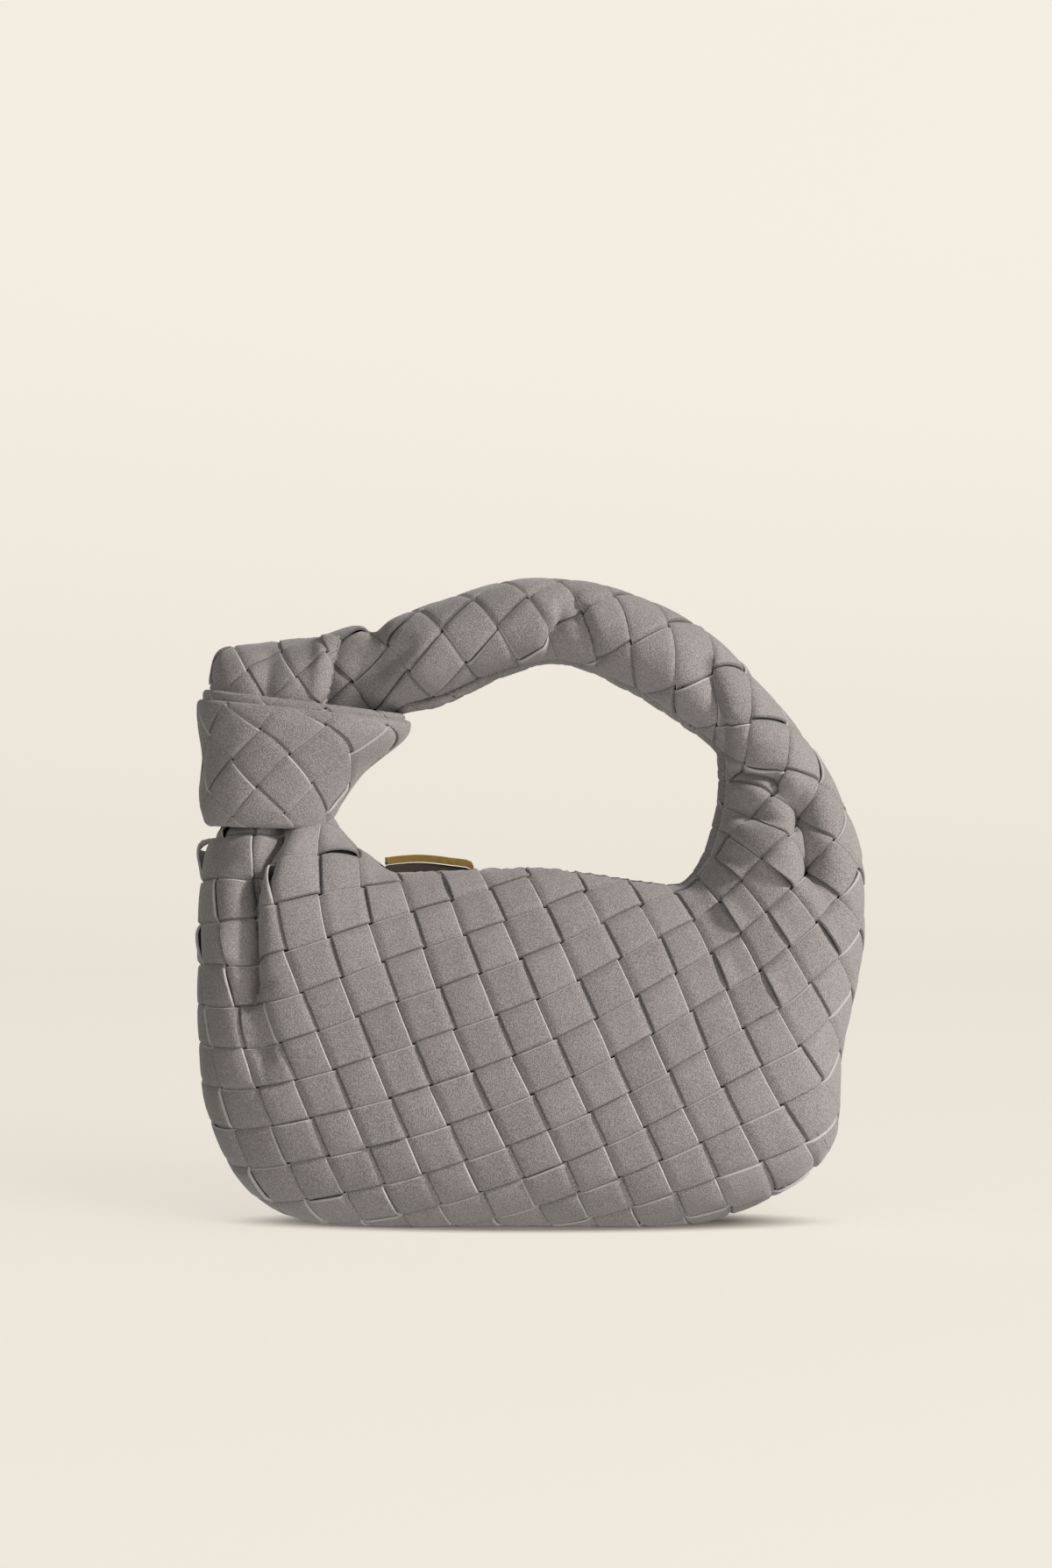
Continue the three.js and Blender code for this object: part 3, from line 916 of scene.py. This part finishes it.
def plait_family(nodes, given, rising):
    """One family of strips, flat in the lattice first, then laid on the skin over and under the other one."""
    own, way = ("Rising", "U") if rising else ("Crossing", "V")
    width, cells = given[own + " Width"], given["Cells " + way]
    strip = nodes.add(
        "GeometryNodeMeshGrid",
        inputs={
            "Size X": cells,
            "Size Y": width,
            "Vertices X": cells * given["Cell Steps"] + 1,
            "Vertices Y": given["Strip Points"],
        },
    )
    middle = nodes.vector(X=given["Start " + way] + cells / 2)
    strip = nodes.add("GeometryNodeTransform", inputs={"Geometry": strip, "Translation": middle})
    start = nodes.vector(Y=given["First " + own] + 0.5)
    line = {"Count": given[own + " Strips"], "Start Location": start, "Offset": (0, 1, 0)}
    rows = nodes.add("GeometryNodeMeshLine", inputs=line)
    flat = nodes.add("GeometryNodeInstanceOnPoints", inputs={"Points": rows, "Instance": strip})
    flat = nodes.add("GeometryNodeRealizeInstances", inputs={0: flat})

    position = nodes.add("GeometryNodeInputPosition")
    along, cross, level = nodes.parts(position)
    number = nodes.math("FLOOR", cross)
    across = (cross - number - 0.5) * 2 / width
    share = nodes.math("ABSOLUTE", across)
    bend = 1.0 - 4.0 / (given["Strip Points"] - 1.0)
    spread = (1.0 - EDGE_PLACE) / (1.0 - bend)
    share = nodes.math("MINIMUM", share * EDGE_PLACE / bend, share * spread + (1.0 - spread))
    across = nodes.math("SIGN", across) * share
    flat = nodes.store(flat, along=along, across=across, number=number)
    along, across, number = (nodes.stored(name) for name in ("along", "across", "number"))

    family = 0.0 if rising else FAMILY_STEP
    drift_at = nodes.vector(
        X=along * DRIFT_ALONG, Y=number * DRIFT_STRIP + family, Z=given["Seed"] * DRIFT_SEED
    )
    drift = nodes.add("ShaderNodeTexNoise", inputs={"Vector": drift_at, "Scale": 1.0, "Detail": 1.0})
    place = number + 0.5 + across * width * 0.5 + (drift - 0.5) * 2 * given["Wander"]
    u, v = (along, place) if rising else (place, along)
    lattice = nodes.vector(X=u / LATTICE_SPAN, Y=v / LATTICE_SPAN)
    on_skin = nodes.stored("lattice", "FLOAT_VECTOR")
    edges = nodes.stored("loose_rising" if rising else "loose_crossing", "FLOAT_VECTOR")

    def sampled(value, out=0):
        inputs = {0: given["Geometry"], 1: value, 2: on_skin, 3: lattice}
        return nodes.add("GeometryNodeSampleUVSurface", {"data_type": "FLOAT_VECTOR"}, inputs, out)

    seat, valid = sampled(position, out=None)[:2]
    rise = sampled(nodes.add("GeometryNodeInputNormal"))
    off_skin = nodes.add("FunctionNodeBooleanMath", {"operation": "NOT"}, {0: valid})
    flat = nodes.add("GeometryNodeDeleteGeometry", {"domain": "POINT"}, {0: flat, "Selection": off_skin})
    row = nodes.parts(sampled(on_skin))[2]
    before = nodes.compare("LESS_THAN", row, given["First Row"])
    after = nodes.compare("GREATER_EQUAL", row, given["Last Row"])
    elsewhere = nodes.add("FunctionNodeBooleanMath", {"operation": "OR"}, {0: before, 1: after})
    flat = nodes.add("GeometryNodeDeleteGeometry", {"domain": "FACE"}, {0: flat, "Selection": elsewhere})

    up = nodes.vector(Z=given["Thickness"])
    raise_by = {"Mesh": flat, "Offset": up, "Offset Scale": 1.0, "Individual": False}
    top = nodes.add("GeometryNodeExtrudeMesh", {"mode": "FACES"}, raise_by)
    under = nodes.add("GeometryNodeFlipFaces", inputs={0: flat})
    strips = nodes.add("GeometryNodeJoinGeometry", inputs={0: [top, under]})
    strips = nodes.add("GeometryNodeMergeByDistance", inputs={"Geometry": strips, "Distance": MERGE_REACH})
    soft = {0: strips, "Shade Smooth": True}
    strips = nodes.add("GeometryNodeSetShadeSmooth", {"domain": "FACE"}, soft)
    corner = nodes.compare("GREATER_THAN", nodes.add("GeometryNodeInputMeshEdgeAngle"), SHARP_FOLD)
    sharp = {0: strips, "Selection": corner, "Shade Smooth": False}
    strips = nodes.add("GeometryNodeSetShadeSmooth", {"domain": "EDGE"}, sharp)

    parity = nodes.math("COSINE", number * np.pi)
    swing = nodes.math("SINE", along * np.pi) * parity * (1.0 if rising else -1.0)
    wave = nodes.math("TANH", swing * given["Sharpness"]) / nodes.math("TANH", given["Sharpness"])
    over = wave * 0.5 + 0.5
    cell_at = nodes.vector(X=nodes.math("FLOOR", along) + 0.5, Y=number + family, Z=given["Seed"])
    pick = nodes.add("ShaderNodeTexWhiteNoise", {"noise_dimensions": "3D"}, {"Vector": cell_at})
    left, right = (nodes.math("MAXIMUM", side, 0.0) ** 2 for side in (across, -across))
    tilt = (pick - 0.5) * across * TILT
    loose = nodes.smooth(pick, LOOSE_LEFT, 1.0) * left + nodes.smooth(1.0 - pick, LOOSE_RIGHT, 1.0) * right
    raised_left, raised_right, calm = nodes.parts(sampled(edges))
    lively = 1.0 - calm * CALMED
    raised = raised_left * left + raised_right * right
    crown = given["Crown"] * (1.0 - across * across)
    lifted = lively * over * (crown + given["Lift"] * (tilt + loose) + raised)
    bevel = nodes.smooth(nodes.math("ABSOLUTE", across), BEVEL_START, 1.0) * level / given["Thickness"]
    height = level - given["Thickness"] * 0.5 + given["Wave"] * lively * wave
    height = height + lifted - given["Bevel"] * bevel
    moved = nodes.add("ShaderNodeVectorMath", {"operation": "ADD"}, {0: seat, 1: nodes.scaled(rise, height)})
    moved = nodes.add("ShaderNodeVectorMath", {"operation": "MAXIMUM"}, {0: moved, 1: LOWEST})
    strips = nodes.add("GeometryNodeSetPosition", inputs={"Geometry": strips, "Position": moved})
    tone = nodes.add("ShaderNodeTexWhiteNoise", {"noise_dimensions": "2D"}, {"Vector": cell_at})
    # tone is a chance tone for each crossing; over, calmed at the rims, drives the suede's painted shade
    # where a strip dives under.
    return nodes.store(strips, tone=tone, over=1.0 - (1.0 - over) * lively * lively)


def plain_mesh(obj, name):
    """A plain mesh of that name of the closed strips that an object's modifiers make, facing outwards."""
    depsgraph = bpy.context.evaluated_depsgraph_get()
    mesh = bpy.data.meshes.new_from_object(obj.evaluated_get(depsgraph))
    mesh.name = name
    shape = bmesh.new()
    shape.from_mesh(mesh)
    bmesh.ops.recalc_face_normals(shape, faces=shape.faces)
    shape.to_mesh(mesh)
    shape.free()
    bpy.data.objects.remove(obj)
    made = bpy.data.objects.new(name, mesh)
    bpy.context.scene.collection.objects.link(made)
    return made


def row_of(name):
    """The grid row of a section of the bag."""
    return ROW_STEPS * [section.name for section in BAG_SECTIONS].index(name)


def bag_layout(pitch):
    """The patches of the bag's skin for each solid, with the lattice of its strips.

    The lattice is cut open along the base and, since the front's is used there, down the back of the pouch.
    """
    points = with_rims(wall_grid(BAG_SECTIONS, WALL / 2, widen=2 * RIM_RADIUS))
    skin = Skin(points, rim_calm(points.shape[1]))
    middle = RIM_COLUMNS + ROUND_STEPS // 2
    skin.cut((row_of("left_corner") + ROW_STEPS // 2, row_of("base_right") + ROW_STEPS // 2), middle)
    skin.weights[0][row_of("base_middle"), middle + 1 :] = 0.0
    lattice = skin.lay_out(skin.strip_field(BAG_PLACES), pitch)
    lattice = align(skin, lattice, CROSSINGS, skin.between_rims())
    return {"pouch": skin.pages(lattice, middle), "handle": [skin.patch(lattice)]}


def seen(points):
    """Where points appear to the camera, in the middle plane: x and z."""
    off = points - EYE
    return (EYE + off * (-EYE[1] / off[..., 1:2]))[..., [0, 2]]


def align(skin, lattice, crossings, usable, period=0.0):
    """Moves a lattice so that its crossings on usable faces appear where the table has them.

    A skin that goes round more than once has a period, by which its lattice repeats.
    """
    flat = seen(skin.points)
    facing = dot(skin.points - EYE, skin.normals) < 0
    rows, columns = lattice.shape
    index = np.arange(rows * columns).reshape(rows, columns)
    quads = grid_quads(index)[usable]
    quads = quads[facing.ravel()[quads].all(axis=1)]
    triangles = np.concatenate([quads[:, [0, 1, 2]], quads[:, [0, 2, 3]]])
    corner = flat.reshape(-1, 2)[triangles]
    value = lattice.reshape(-1)[triangles]
    one, two = corner[:, 1] - corner[:, 0], corner[:, 2] - corner[:, 0]
    area = one[:, 0] * two[:, 1] - one[:, 1] * two[:, 0]
    found = []
    for crossing in crossings:
        off = np.array([crossing.x, crossing.z]) - corner[:, 0]
        b = (off[:, 0] * two[:, 1] - off[:, 1] * two[:, 0]) / area
        c = (one[:, 0] * off[:, 1] - one[:, 1] * off[:, 0]) / area
        best = np.argmin(np.maximum(np.maximum(-b, -c), b + c - 1.0))
        b, c = np.clip(b[best], 0.0, 1.0), np.clip(c[best], 0.0, 1.0)
        found.append(value[best] @ np.array([1 - b - c, b, c]))
    found = np.array(found)
    wanted = np.array([crossing.u + 1j * crossing.v for crossing in crossings])
    shift = np.mean(wanted - found)

    def near(a, b):
        return np.exp(-(np.abs(a[:, None] - b[None, :]) ** 2) / (2 * ALIGN_REACH**2))

    weights = np.linalg.solve(near(found, found) + ALIGN_EASE * np.eye(len(found)), wanted - found - shift)
    places = [found + turn * period for turn in (-1, 0, 1)] if period else [found]
    moved = sum(near(lattice.reshape(-1), place) @ weights for place in places)
    return lattice + shift + moved.reshape(lattice.shape)


# How strips are plaited: the widths of the two families, how far they go over and under, and how finely they
# are divided along one crossing and across.
Weave = namedtuple("Weave", "rising_width crossing_width wave steps points")


def plait(name, patches, weave, strips=None, rows=(-1, 100000)):
    """Plaits strips onto a skin, between two of its rows.

    strips gives the first number and the count of each family, or None for all.
    """
    sizes = bpy.context.scene.plait_sizes
    skin = skin_object(name + "_skin", patches)
    lattice = np.concatenate([patch.lattice.reshape(-1) for patch in patches])
    low_u, high_u = int(np.floor(lattice.real.min())), int(np.ceil(lattice.real.max()))
    low_v, high_v = int(np.floor(lattice.imag.min())), int(np.ceil(lattice.imag.max()))
    rising, crossing = strips or ((low_v, high_v - low_v), (low_u, high_u - low_u))
    values = {
        "First Rising": rising[0],
        "Rising Strips": rising[1],
        "First Crossing": crossing[0],
        "Crossing Strips": crossing[1],
        "First Row": float(rows[0]),
        "Last Row": float(rows[1]),
        "Start U": low_u,
        "Cells U": high_u - low_u,
        "Start V": low_v,
        "Cells V": high_v - low_v,
        "Cell Steps": weave.steps,
        "Strip Points": weave.points,
        "Rising Width": weave.rising_width,
        "Crossing Width": weave.crossing_width,
        "Thickness": sizes.thickness,
        "Wave": weave.wave,
        "Sharpness": sizes.sharpness,
        "Crown": sizes.crown,
        "Bevel": sizes.bevel,
        "Lift": sizes.lift,
        "Wander": sizes.wander,
        "Seed": sizes.seed,
        "Suede": material("napped suede", suede_nodes),
    }
    tree = plait_tree(values)
    modifier = skin.modifiers.new("Plait", "NODES")
    modifier.node_group = tree
    for item in tree.interface.items_tree:
        if item.in_out == "INPUT" and item.name in values:
            modifier[item.identifier] = values[item.name]
    return plain_mesh(skin, name)


def material(name, add_nodes):
    """The material of that name, made once."""
    found = bpy.data.materials.get(name)
    if found:
        return found
    made = bpy.data.materials.new(name)
    made.use_nodes = True
    made.node_tree.nodes.clear()
    add_nodes(NodeSet(made.node_tree))
    return made


SUEDE_GRAIN = 3000.0  # pebbles of the nap in a metre
SUEDE_CLOUD = 150.0
NAP_STRETCH = (1.0, 1.0, 0.75)  # the pebbles are longer upwards
LINING_THREADS = 9000.0
LINING_WEAR = 120.0
BRASS_WEAR = 420.0


def suede_nodes(nodes):
    """Napped suede: pebbled grain, cloudy tone, paler cut edges on one side of each strip (partly their own
    colour, partly a painted highlight), painted shade along the strips' other side, and painted shade where a
    strip dives under its neighbour.
    """
    colours = bpy.context.scene.finishes
    place = nodes.add("ShaderNodeTexCoord", out="Object")
    nap = nodes.add("ShaderNodeMapping", inputs={"Vector": place, "Scale": NAP_STRETCH})
    grain = nodes.add("ShaderNodeTexNoise", inputs={"Vector": nap, "Scale": SUEDE_GRAIN, "Detail": 0.0})
    cloudy = {"Vector": place, "Scale": SUEDE_CLOUD, "Detail": 3.0, "Roughness": 0.6}
    cloud = nodes.add("ShaderNodeTexNoise", inputs=cloudy)
    across, tone, over = (
        nodes.add("ShaderNodeAttribute", {"attribute_name": name}, out="Fac")
        for name in ("across", "tone", "over")
    )
    pebble = nodes.smooth(grain, 0.34, 0.66)
    # The paler cut edge on one side of each strip only: partly the raw edge's own colour, partly a painted
    # highlight where the light falls.
    edge = nodes.smooth(across, 0.925, 0.965)
    # Painted shade along the side of each strip that faces away from the light.
    shaded = nodes.smooth(-across, 0.9, 0.97)
    shade = pebble * 0.52 + (cloud - 0.5) * 0.14 + (tone - 0.5) * 0.12 + 0.74
    # Painted shade: darker where a strip dives under its neighbour, and along its side away from the light.
    shade = shade * (nodes.smooth(over, 0.2, 0.46) * 0.75 + 0.25) * (1.0 - shaded * 0.4)
    nodes.surface(
        {
            "Base Color": nodes.mix(edge, nodes.scaled(tuple(colours.nap), shade), rgba(colours.cut_edge_highlight)),
            "Roughness": 0.95,
            "Specular IOR Level": 0.25,
            "Sheen Weight": 0.25,
            "Sheen Roughness": 0.5,
            "Normal": nodes.bump(pebble, 0.35, 0.0003),
        }
    )


def lining_nodes(nodes):
    """Plain woven lining and zip tape."""
    place = nodes.add("ShaderNodeTexCoord", out="Object")
    x, _, z = nodes.parts(place)
    thread = nodes.math("SINE", x * LINING_THREADS) * nodes.math("SINE", z * LINING_THREADS)
    worn = nodes.add("ShaderNodeTexNoise", inputs={"Vector": place, "Scale": LINING_WEAR, "Detail": 3.0})
    shade = thread * 0.18 + (worn - 0.5) * 0.4 + 1.0
    colour = nodes.scaled(tuple(bpy.context.scene.finishes.lining), shade)
    nodes.surface({"Base Color": colour, "Roughness": 0.8, "Normal": nodes.bump(thread, 0.4, 0.0002)})


def brass_nodes(nodes):
    """Polished brass with fine wear."""
    place = nodes.add("ShaderNodeTexCoord", out="Object")
    wear = nodes.add("ShaderNodeTexNoise", inputs={"Vector": place, "Scale": BRASS_WEAR, "Detail": 4.0})
    colour = nodes.scaled(tuple(bpy.context.scene.finishes.brass), (wear - 0.5) * 0.25 + 1.0)
    nodes.surface({"Base Color": colour, "Roughness": wear * 0.25 + 0.14, "Metallic": 1.0})


def paper_nodes(nodes):
    """Matte paper of the sweep, with painted light: it glows a little, to keep shadows on it faint, a little
    more on its wall than on its floor, and not in an oval under the bag, which leaves a painted contact
    shadow there.
    """
    paper = bpy.context.scene.stage_settings.sweep
    place = nodes.add("ShaderNodeTexCoord", out="Object")
    from_bag = nodes.add("ShaderNodeMapping", inputs={"Vector": place, "Scale": GLOW_GAP})
    away = nodes.add("ShaderNodeVectorMath", {"operation": "LENGTH"}, {0: from_bag}, out="Value")
    height = nodes.parts(place)[2]
    # The glow is painted light; it fades to none in the oval under the bag, a painted contact shadow, and
    # grows up the wall.
    strength = nodes.smooth(away, 0.8, 1.35) * (nodes.smooth(height, 0.0, 0.7) * WALL_GLOW + 1.0)
    nodes.surface(
        {
            "Base Color": rgba(paper),
            "Roughness": 0.9,
            "Specular IOR Level": 0.1,
            "Emission Color": nodes.scaled(tuple(paper), strength),
            "Emission Strength": GLOW,
        }
    )


def band_skin(layer):
    """A layer of the knot's band, almost twice round, and the lattice of its strips.

    It goes up behind, over the lower edge, up the face, over the upper edge and down behind.
    """
    turns = np.linspace(*BAND_TURNS, BAND_STEPS) * 2 * np.pi
    levels = np.array([level[1:] for level in BAND_LEVELS])
    ease = layer.roll / BAND_HEIGHT
    behind = layer.inset + 2 * layer.roll
    tucks = np.array(BAND_TUCK) / BAND_HEIGHT
    angles = np.radians(RIM_ANGLES[-2::-1])
    rolled = layer.inset + layer.roll * (1 - np.cos(angles))
    face = np.linspace(layer.low + ease, layer.high - ease, BAND_FACE_STEPS)
    edge = ease * np.sin(angles)
    lower = [layer.low + tucks, layer.low + ease - edge]
    upper = [layer.high - ease + edge[::-1], layer.high - tucks[::-1]]
    ups = np.concatenate([*lower, face, *upper])
    tucked = np.full(len(tucks), behind)
    insets = np.concatenate([tucked, rolled, np.full(len(face), layer.inset), rolled[::-1], tucked])
    left_x, left_z, right_x, right_z, depth = spline(levels, ups).T
    length = np.hypot(right_x - left_x, right_z - left_z) / 2

    def oval(c):
        return np.sign(c) * np.abs(c) ** (2 / BAND_SQUARENESS)

    across = oval(np.cos(turns))[:, None]
    share = 0.5 + 0.5 * across * (length - insets) / length
    points = np.stack(
        [
            left_x + (right_x - left_x) * share,
            (depth / 2 * (1 - BAND_TAPER * across / 2) - insets) * oval(np.sin(turns))[:, None],
            left_z + (right_z - left_z) * share,
        ],
        axis=-1,
    )
    middle = points[:, len(ups) // 2]
    run = np.concatenate([[0.0], np.cumsum(np.linalg.norm(np.diff(middle, axis=0), axis=-1))])
    start, end = np.interp([0.0, 2 * np.pi], turns, run)
    around = ((run - start) / (end - start) * BAND_REPEATS)[:, None]
    climb = np.concatenate([[0.0], np.cumsum(np.hypot(np.diff(ups) * BAND_HEIGHT, np.diff(insets)))])
    up = (climb[None, :] - BAND_TILT * middle[:, :1]) / BAND_CELL
    from_rim = np.minimum(ups - layer.low, layer.high - ups) * BAND_HEIGHT - layer.roll
    calm = 1.0 - np.clip(from_rim / BAND_CALM, 0.0, 1.0) * (insets == layer.inset)
    skin = Skin(points[:, ::-1], calm[::-1])
    lattice = ((around + up) + 1j * (up - around))[:, ::-1]
    return skin, lattice, (turns > np.pi) & (turns < 2 * np.pi)


def band_strips(lattice):
    """The strips that go once round a band, as plait takes them."""
    middle = lattice[lattice.shape[0] // 2, lattice.shape[1] // 2]
    rising = round(middle.imag - BAND_REPEATS / 2)
    crossing = round(middle.real - BAND_REPEATS / 2)
    return (rising, BAND_REPEATS), (crossing, BAND_REPEATS)


class KNOTBAG_OT_plait_bag(bpy.types.Operator):
    """Plaits the pouch and the handle, whose strips run from one into the other"""

    bl_idname = "knot_bag.plait_bag"
    bl_label = "Plait pouch and handle"

    def execute(self, context):
        sizes = context.scene.plait_sizes
        patches = bag_layout(sizes.pitch / MM)
        start = -1
        for part in STRETCHES:
            weave = Weave(sizes.rising_width, sizes.crossing_width, sizes.wave, part.steps, part.points)
            end = row_of(part.end)
            dress(plait(part.name, patches[part.node], weave, rows=(start - LAP, end + LAP)), part.node)
            start = end
        return {"FINISHED"}


def dress(piece, *nodes):
    """Hands over a plaited piece, which stands in for solids of the part or adds to them."""
    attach(piece, "root")
    if nodes:
        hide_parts(*nodes)


class KNOTBAG_OT_plait_knot(bpy.types.Operator):
    """Plaits the band and the loop of the knot"""

    bl_idname = "knot_bag.plait_knot"
    bl_label = "Plait knot"

    def execute(self, context):
        sizes = context.scene.plait_sizes
        pitch = sizes.pitch / MM
        weave = Weave(sizes.knot_width, sizes.knot_width, sizes.knot_wave, KNOT_STEPS, KNOT_POINTS)
        skin, lattice, front = band_skin(BAND_FACE)
        usable = skin.whole & (front[:-1] & front[1:])[:, None]
        lattice = align(skin, lattice, BAND_CROSSINGS, usable, BAND_REPEATS * (1 - 1j))
        dress(plait("woven_knot_band", [skin.patch(lattice)], weave, band_strips(lattice)), "knot_band")
        skin, lattice, _ = band_skin(BAND_LIP)
        dress(plait("woven_knot_lip", [skin.patch(lattice)], weave, band_strips(lattice)))

        skin = Skin(with_rims(wall_grid(LOOP_SECTIONS, WALL / 2, round_steps=LOOP_ROUND_STEPS)))
        lattice = skin.lay_out(skin.strip_field(LOOP_PLACES), pitch)
        lattice = align(skin, lattice, LOOP_CROSSINGS, skin.between_rims())
        dress(plait("woven_knot_loop", [skin.patch(lattice)], weave), "knot_loop")
        return {"FINISHED"}


class KNOTBAG_OT_line(bpy.types.Operator):
    """Lines the bag, so that its inside is dark and closed"""

    bl_idname = "knot_bag.line"
    bl_label = "Line the bag"

    def execute(self, context):
        outer, inner = (
            wall_grid(BAG_SECTIONS, inset, widen=2 * RIM_RADIUS, reach=LINING_REACH)[:, ::2]
            for inset in (LINING_INSET, LINING_INSET + LINING_WALL)
        )
        lining = shell_object("lining", outer, inner, material("woven lining", lining_nodes))
        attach(lining, "root")
        return {"FINISHED"}


class KNOTBAG_OT_zip(bpy.types.Operator):
    """Finishes the zip's tapes, rows of teeth and slider"""

    bl_idname = "knot_bag.zip"
    bl_label = "Finish the zip"

    def execute(self, context):
        for node in ("zip_tape_front", "zip_tape_back"):
            set_material(FRAME["nodes"][node], material("woven lining", lining_nodes))
        for node in ("zip_teeth_front", "zip_teeth_back", "zip_slider"):
            set_material(FRAME["nodes"][node], material("worn brass", brass_nodes))
        return {"FINISHED"}


def set_material(obj, material):
    """Gives every face of an object one material."""
    obj.data.materials.clear()
    obj.data.materials.append(material)


class KNOTBAG_OT_stage(bpy.types.Operator):
    """Sets up the sweep, the lights and the camera"""

    bl_idname = "knot_bag.stage"
    bl_label = "Set up the stage"

    def execute(self, context):
        scene = context.scene
        settings = scene.stage_settings
        sweep = bpy.data.objects.new("sweep", sweep_mesh())
        scene.collection.objects.link(sweep)
        sweep.data.materials.append(material("sweep paper", paper_nodes))
        sweep.visible_diffuse = False
        world = scene.world or bpy.data.worlds.new("World")
        scene.world = world
        world.use_nodes = True
        background = world.node_tree.nodes["Background"]
        background.inputs["Color"].default_value = rgba(LIGHT_COLOUR)
        background.inputs["Strength"].default_value = settings.dome
        bag = bpy.data.collections.new("bag in the light")
        for piece in scene.objects:
            if piece.type == "MESH" and piece != sweep:
                bag.objects.link(piece)
        paper = bpy.data.collections.new("paper in the light")
        paper.objects.link(sweep)
        for lamp in LAMPS:
            light = bpy.data.lights.new(lamp.name, "AREA")
            light.shape = "DISK"
            light.size = lamp.size
            light.energy = lamp.share * settings.key
            light.color = LIGHT_COLOUR
            made = bpy.data.objects.new(lamp.name, light)
            scene.collection.objects.link(made)
            made.location = lamp.place
            toward_bag = Vector(LAMP_AIM) - Vector(lamp.place)
            made.rotation_euler = toward_bag.to_track_quat("-Z", "Y").to_euler()
            made.light_linking.receiver_collection = bag if lamp.lights_bag else paper
            made.light_linking.blocker_collection = bag
        camera = bpy.data.objects.new("camera", bpy.data.cameras.new("camera"))
        scene.collection.objects.link(camera)
        camera.data.lens = settings.lens
        camera.data.clip_end = CLIP_END
        camera.location = (EYE[0] * MM, -settings.camera_distance, settings.camera_height)
        camera.rotation_euler = (np.pi / 2, 0.0, 0.0)
        scene.camera = camera
        scene.view_settings.view_transform = "Standard"
        return {"FINISHED"}


# Lamps, each a disk with a share of the key's power, which lights either the bag or the paper sweep.
Lamp = namedtuple("Lamp", "name place size share lights_bag")
LAMPS = table(Lamp, [
    ("key", (1.4, -0.6, 1.05), 0.25, 1.0, True),
    ("fill", (-0.6, -1.8, 0.5), 1.0, 0.28, True),
    ("bounce", (0.5, -0.7, -0.6), 0.8, 0.17, True),
    ("wash", (1.7, -2.6, 0.9), 2.6, 0.8, False),
])
GLOW = 0.665  # painted light: the paper's glow, away from the bag
WALL_GLOW = 0.1  # how much more its wall glows than its floor
GLOW_GAP = (1 / 0.084, 1 / 0.033, 1.0)  # 1 / half the sides of the oval under the bag without a glow, which leaves a painted contact shadow there
LAMP_AIM = (0.0, 0.0, 0.1)
CLIP_END = 50.0
LIGHT_COLOUR = (1.0, 0.985, 0.965)


def sweep_mesh():
    """A floor that curves up into a backdrop, as one smooth sheet."""
    front, bend, back, top = -3.0, 1.8, 2.4, 4.0
    radius = back - bend
    profile = [(front, 0.0), (bend, 0.0)]
    for angle in np.linspace(0.0, np.pi / 2, 17)[1:]:
        profile.append((bend + radius * np.sin(angle), radius * (1 - np.cos(angle))))
    profile.append((back, top))
    half = 4.0
    verts = [(x, y, z) for y, z in profile for x in (-half, half)]
    faces = [(2 * k, 2 * k + 1, 2 * k + 3, 2 * k + 2) for k in range(len(profile) - 1)]
    mesh = bpy.data.meshes.new("sweep")
    mesh.from_pydata(verts, [], faces)
    mesh.shade_smooth()
    return mesh


class KNOTBAG_PT_bag(bpy.types.Panel):
    """Lists the steps that dress the bag"""

    bl_label = "Knot bag"
    bl_space_type = "VIEW_3D"
    bl_region_type = "UI"
    bl_category = "Knot bag"

    def draw(self, context):
        for operator in OPERATORS:
            self.layout.operator(operator.bl_idname)
        for group in ("plait_sizes", "finishes", "stage_settings"):
            settings = getattr(context.scene, group)
            for name in settings.__annotations__:
                self.layout.prop(settings, name)


GROUPS = {"plait_sizes": PlaitSizes, "finishes": Finishes, "stage_settings": StageSettings}
OPERATORS = [
    KNOTBAG_OT_plait_bag,
    KNOTBAG_OT_plait_knot,
    KNOTBAG_OT_line,
    KNOTBAG_OT_zip,
    KNOTBAG_OT_stage,
]


def register():
    """Registers the settings, the operators and the panel."""
    for name, group in GROUPS.items():
        bpy.utils.register_class(group)
        setattr(bpy.types.Scene, name, PointerProperty(type=group))
    for operator in OPERATORS:
        bpy.utils.register_class(operator)
    bpy.utils.register_class(KNOTBAG_PT_bag)


def unregister():
    """Takes back what register added."""
    bpy.utils.unregister_class(KNOTBAG_PT_bag)
    for operator in reversed(OPERATORS):
        bpy.utils.unregister_class(operator)
    for name, group in GROUPS.items():
        delattr(bpy.types.Scene, name)
        bpy.utils.unregister_class(group)


def main():
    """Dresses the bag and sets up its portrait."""
    register()
    bpy.ops.knot_bag.plait_bag()
    bpy.ops.knot_bag.plait_knot()
    bpy.ops.knot_bag.line()
    bpy.ops.knot_bag.zip()
    bpy.ops.knot_bag.stage()


if __name__ == "__main__":
    main()
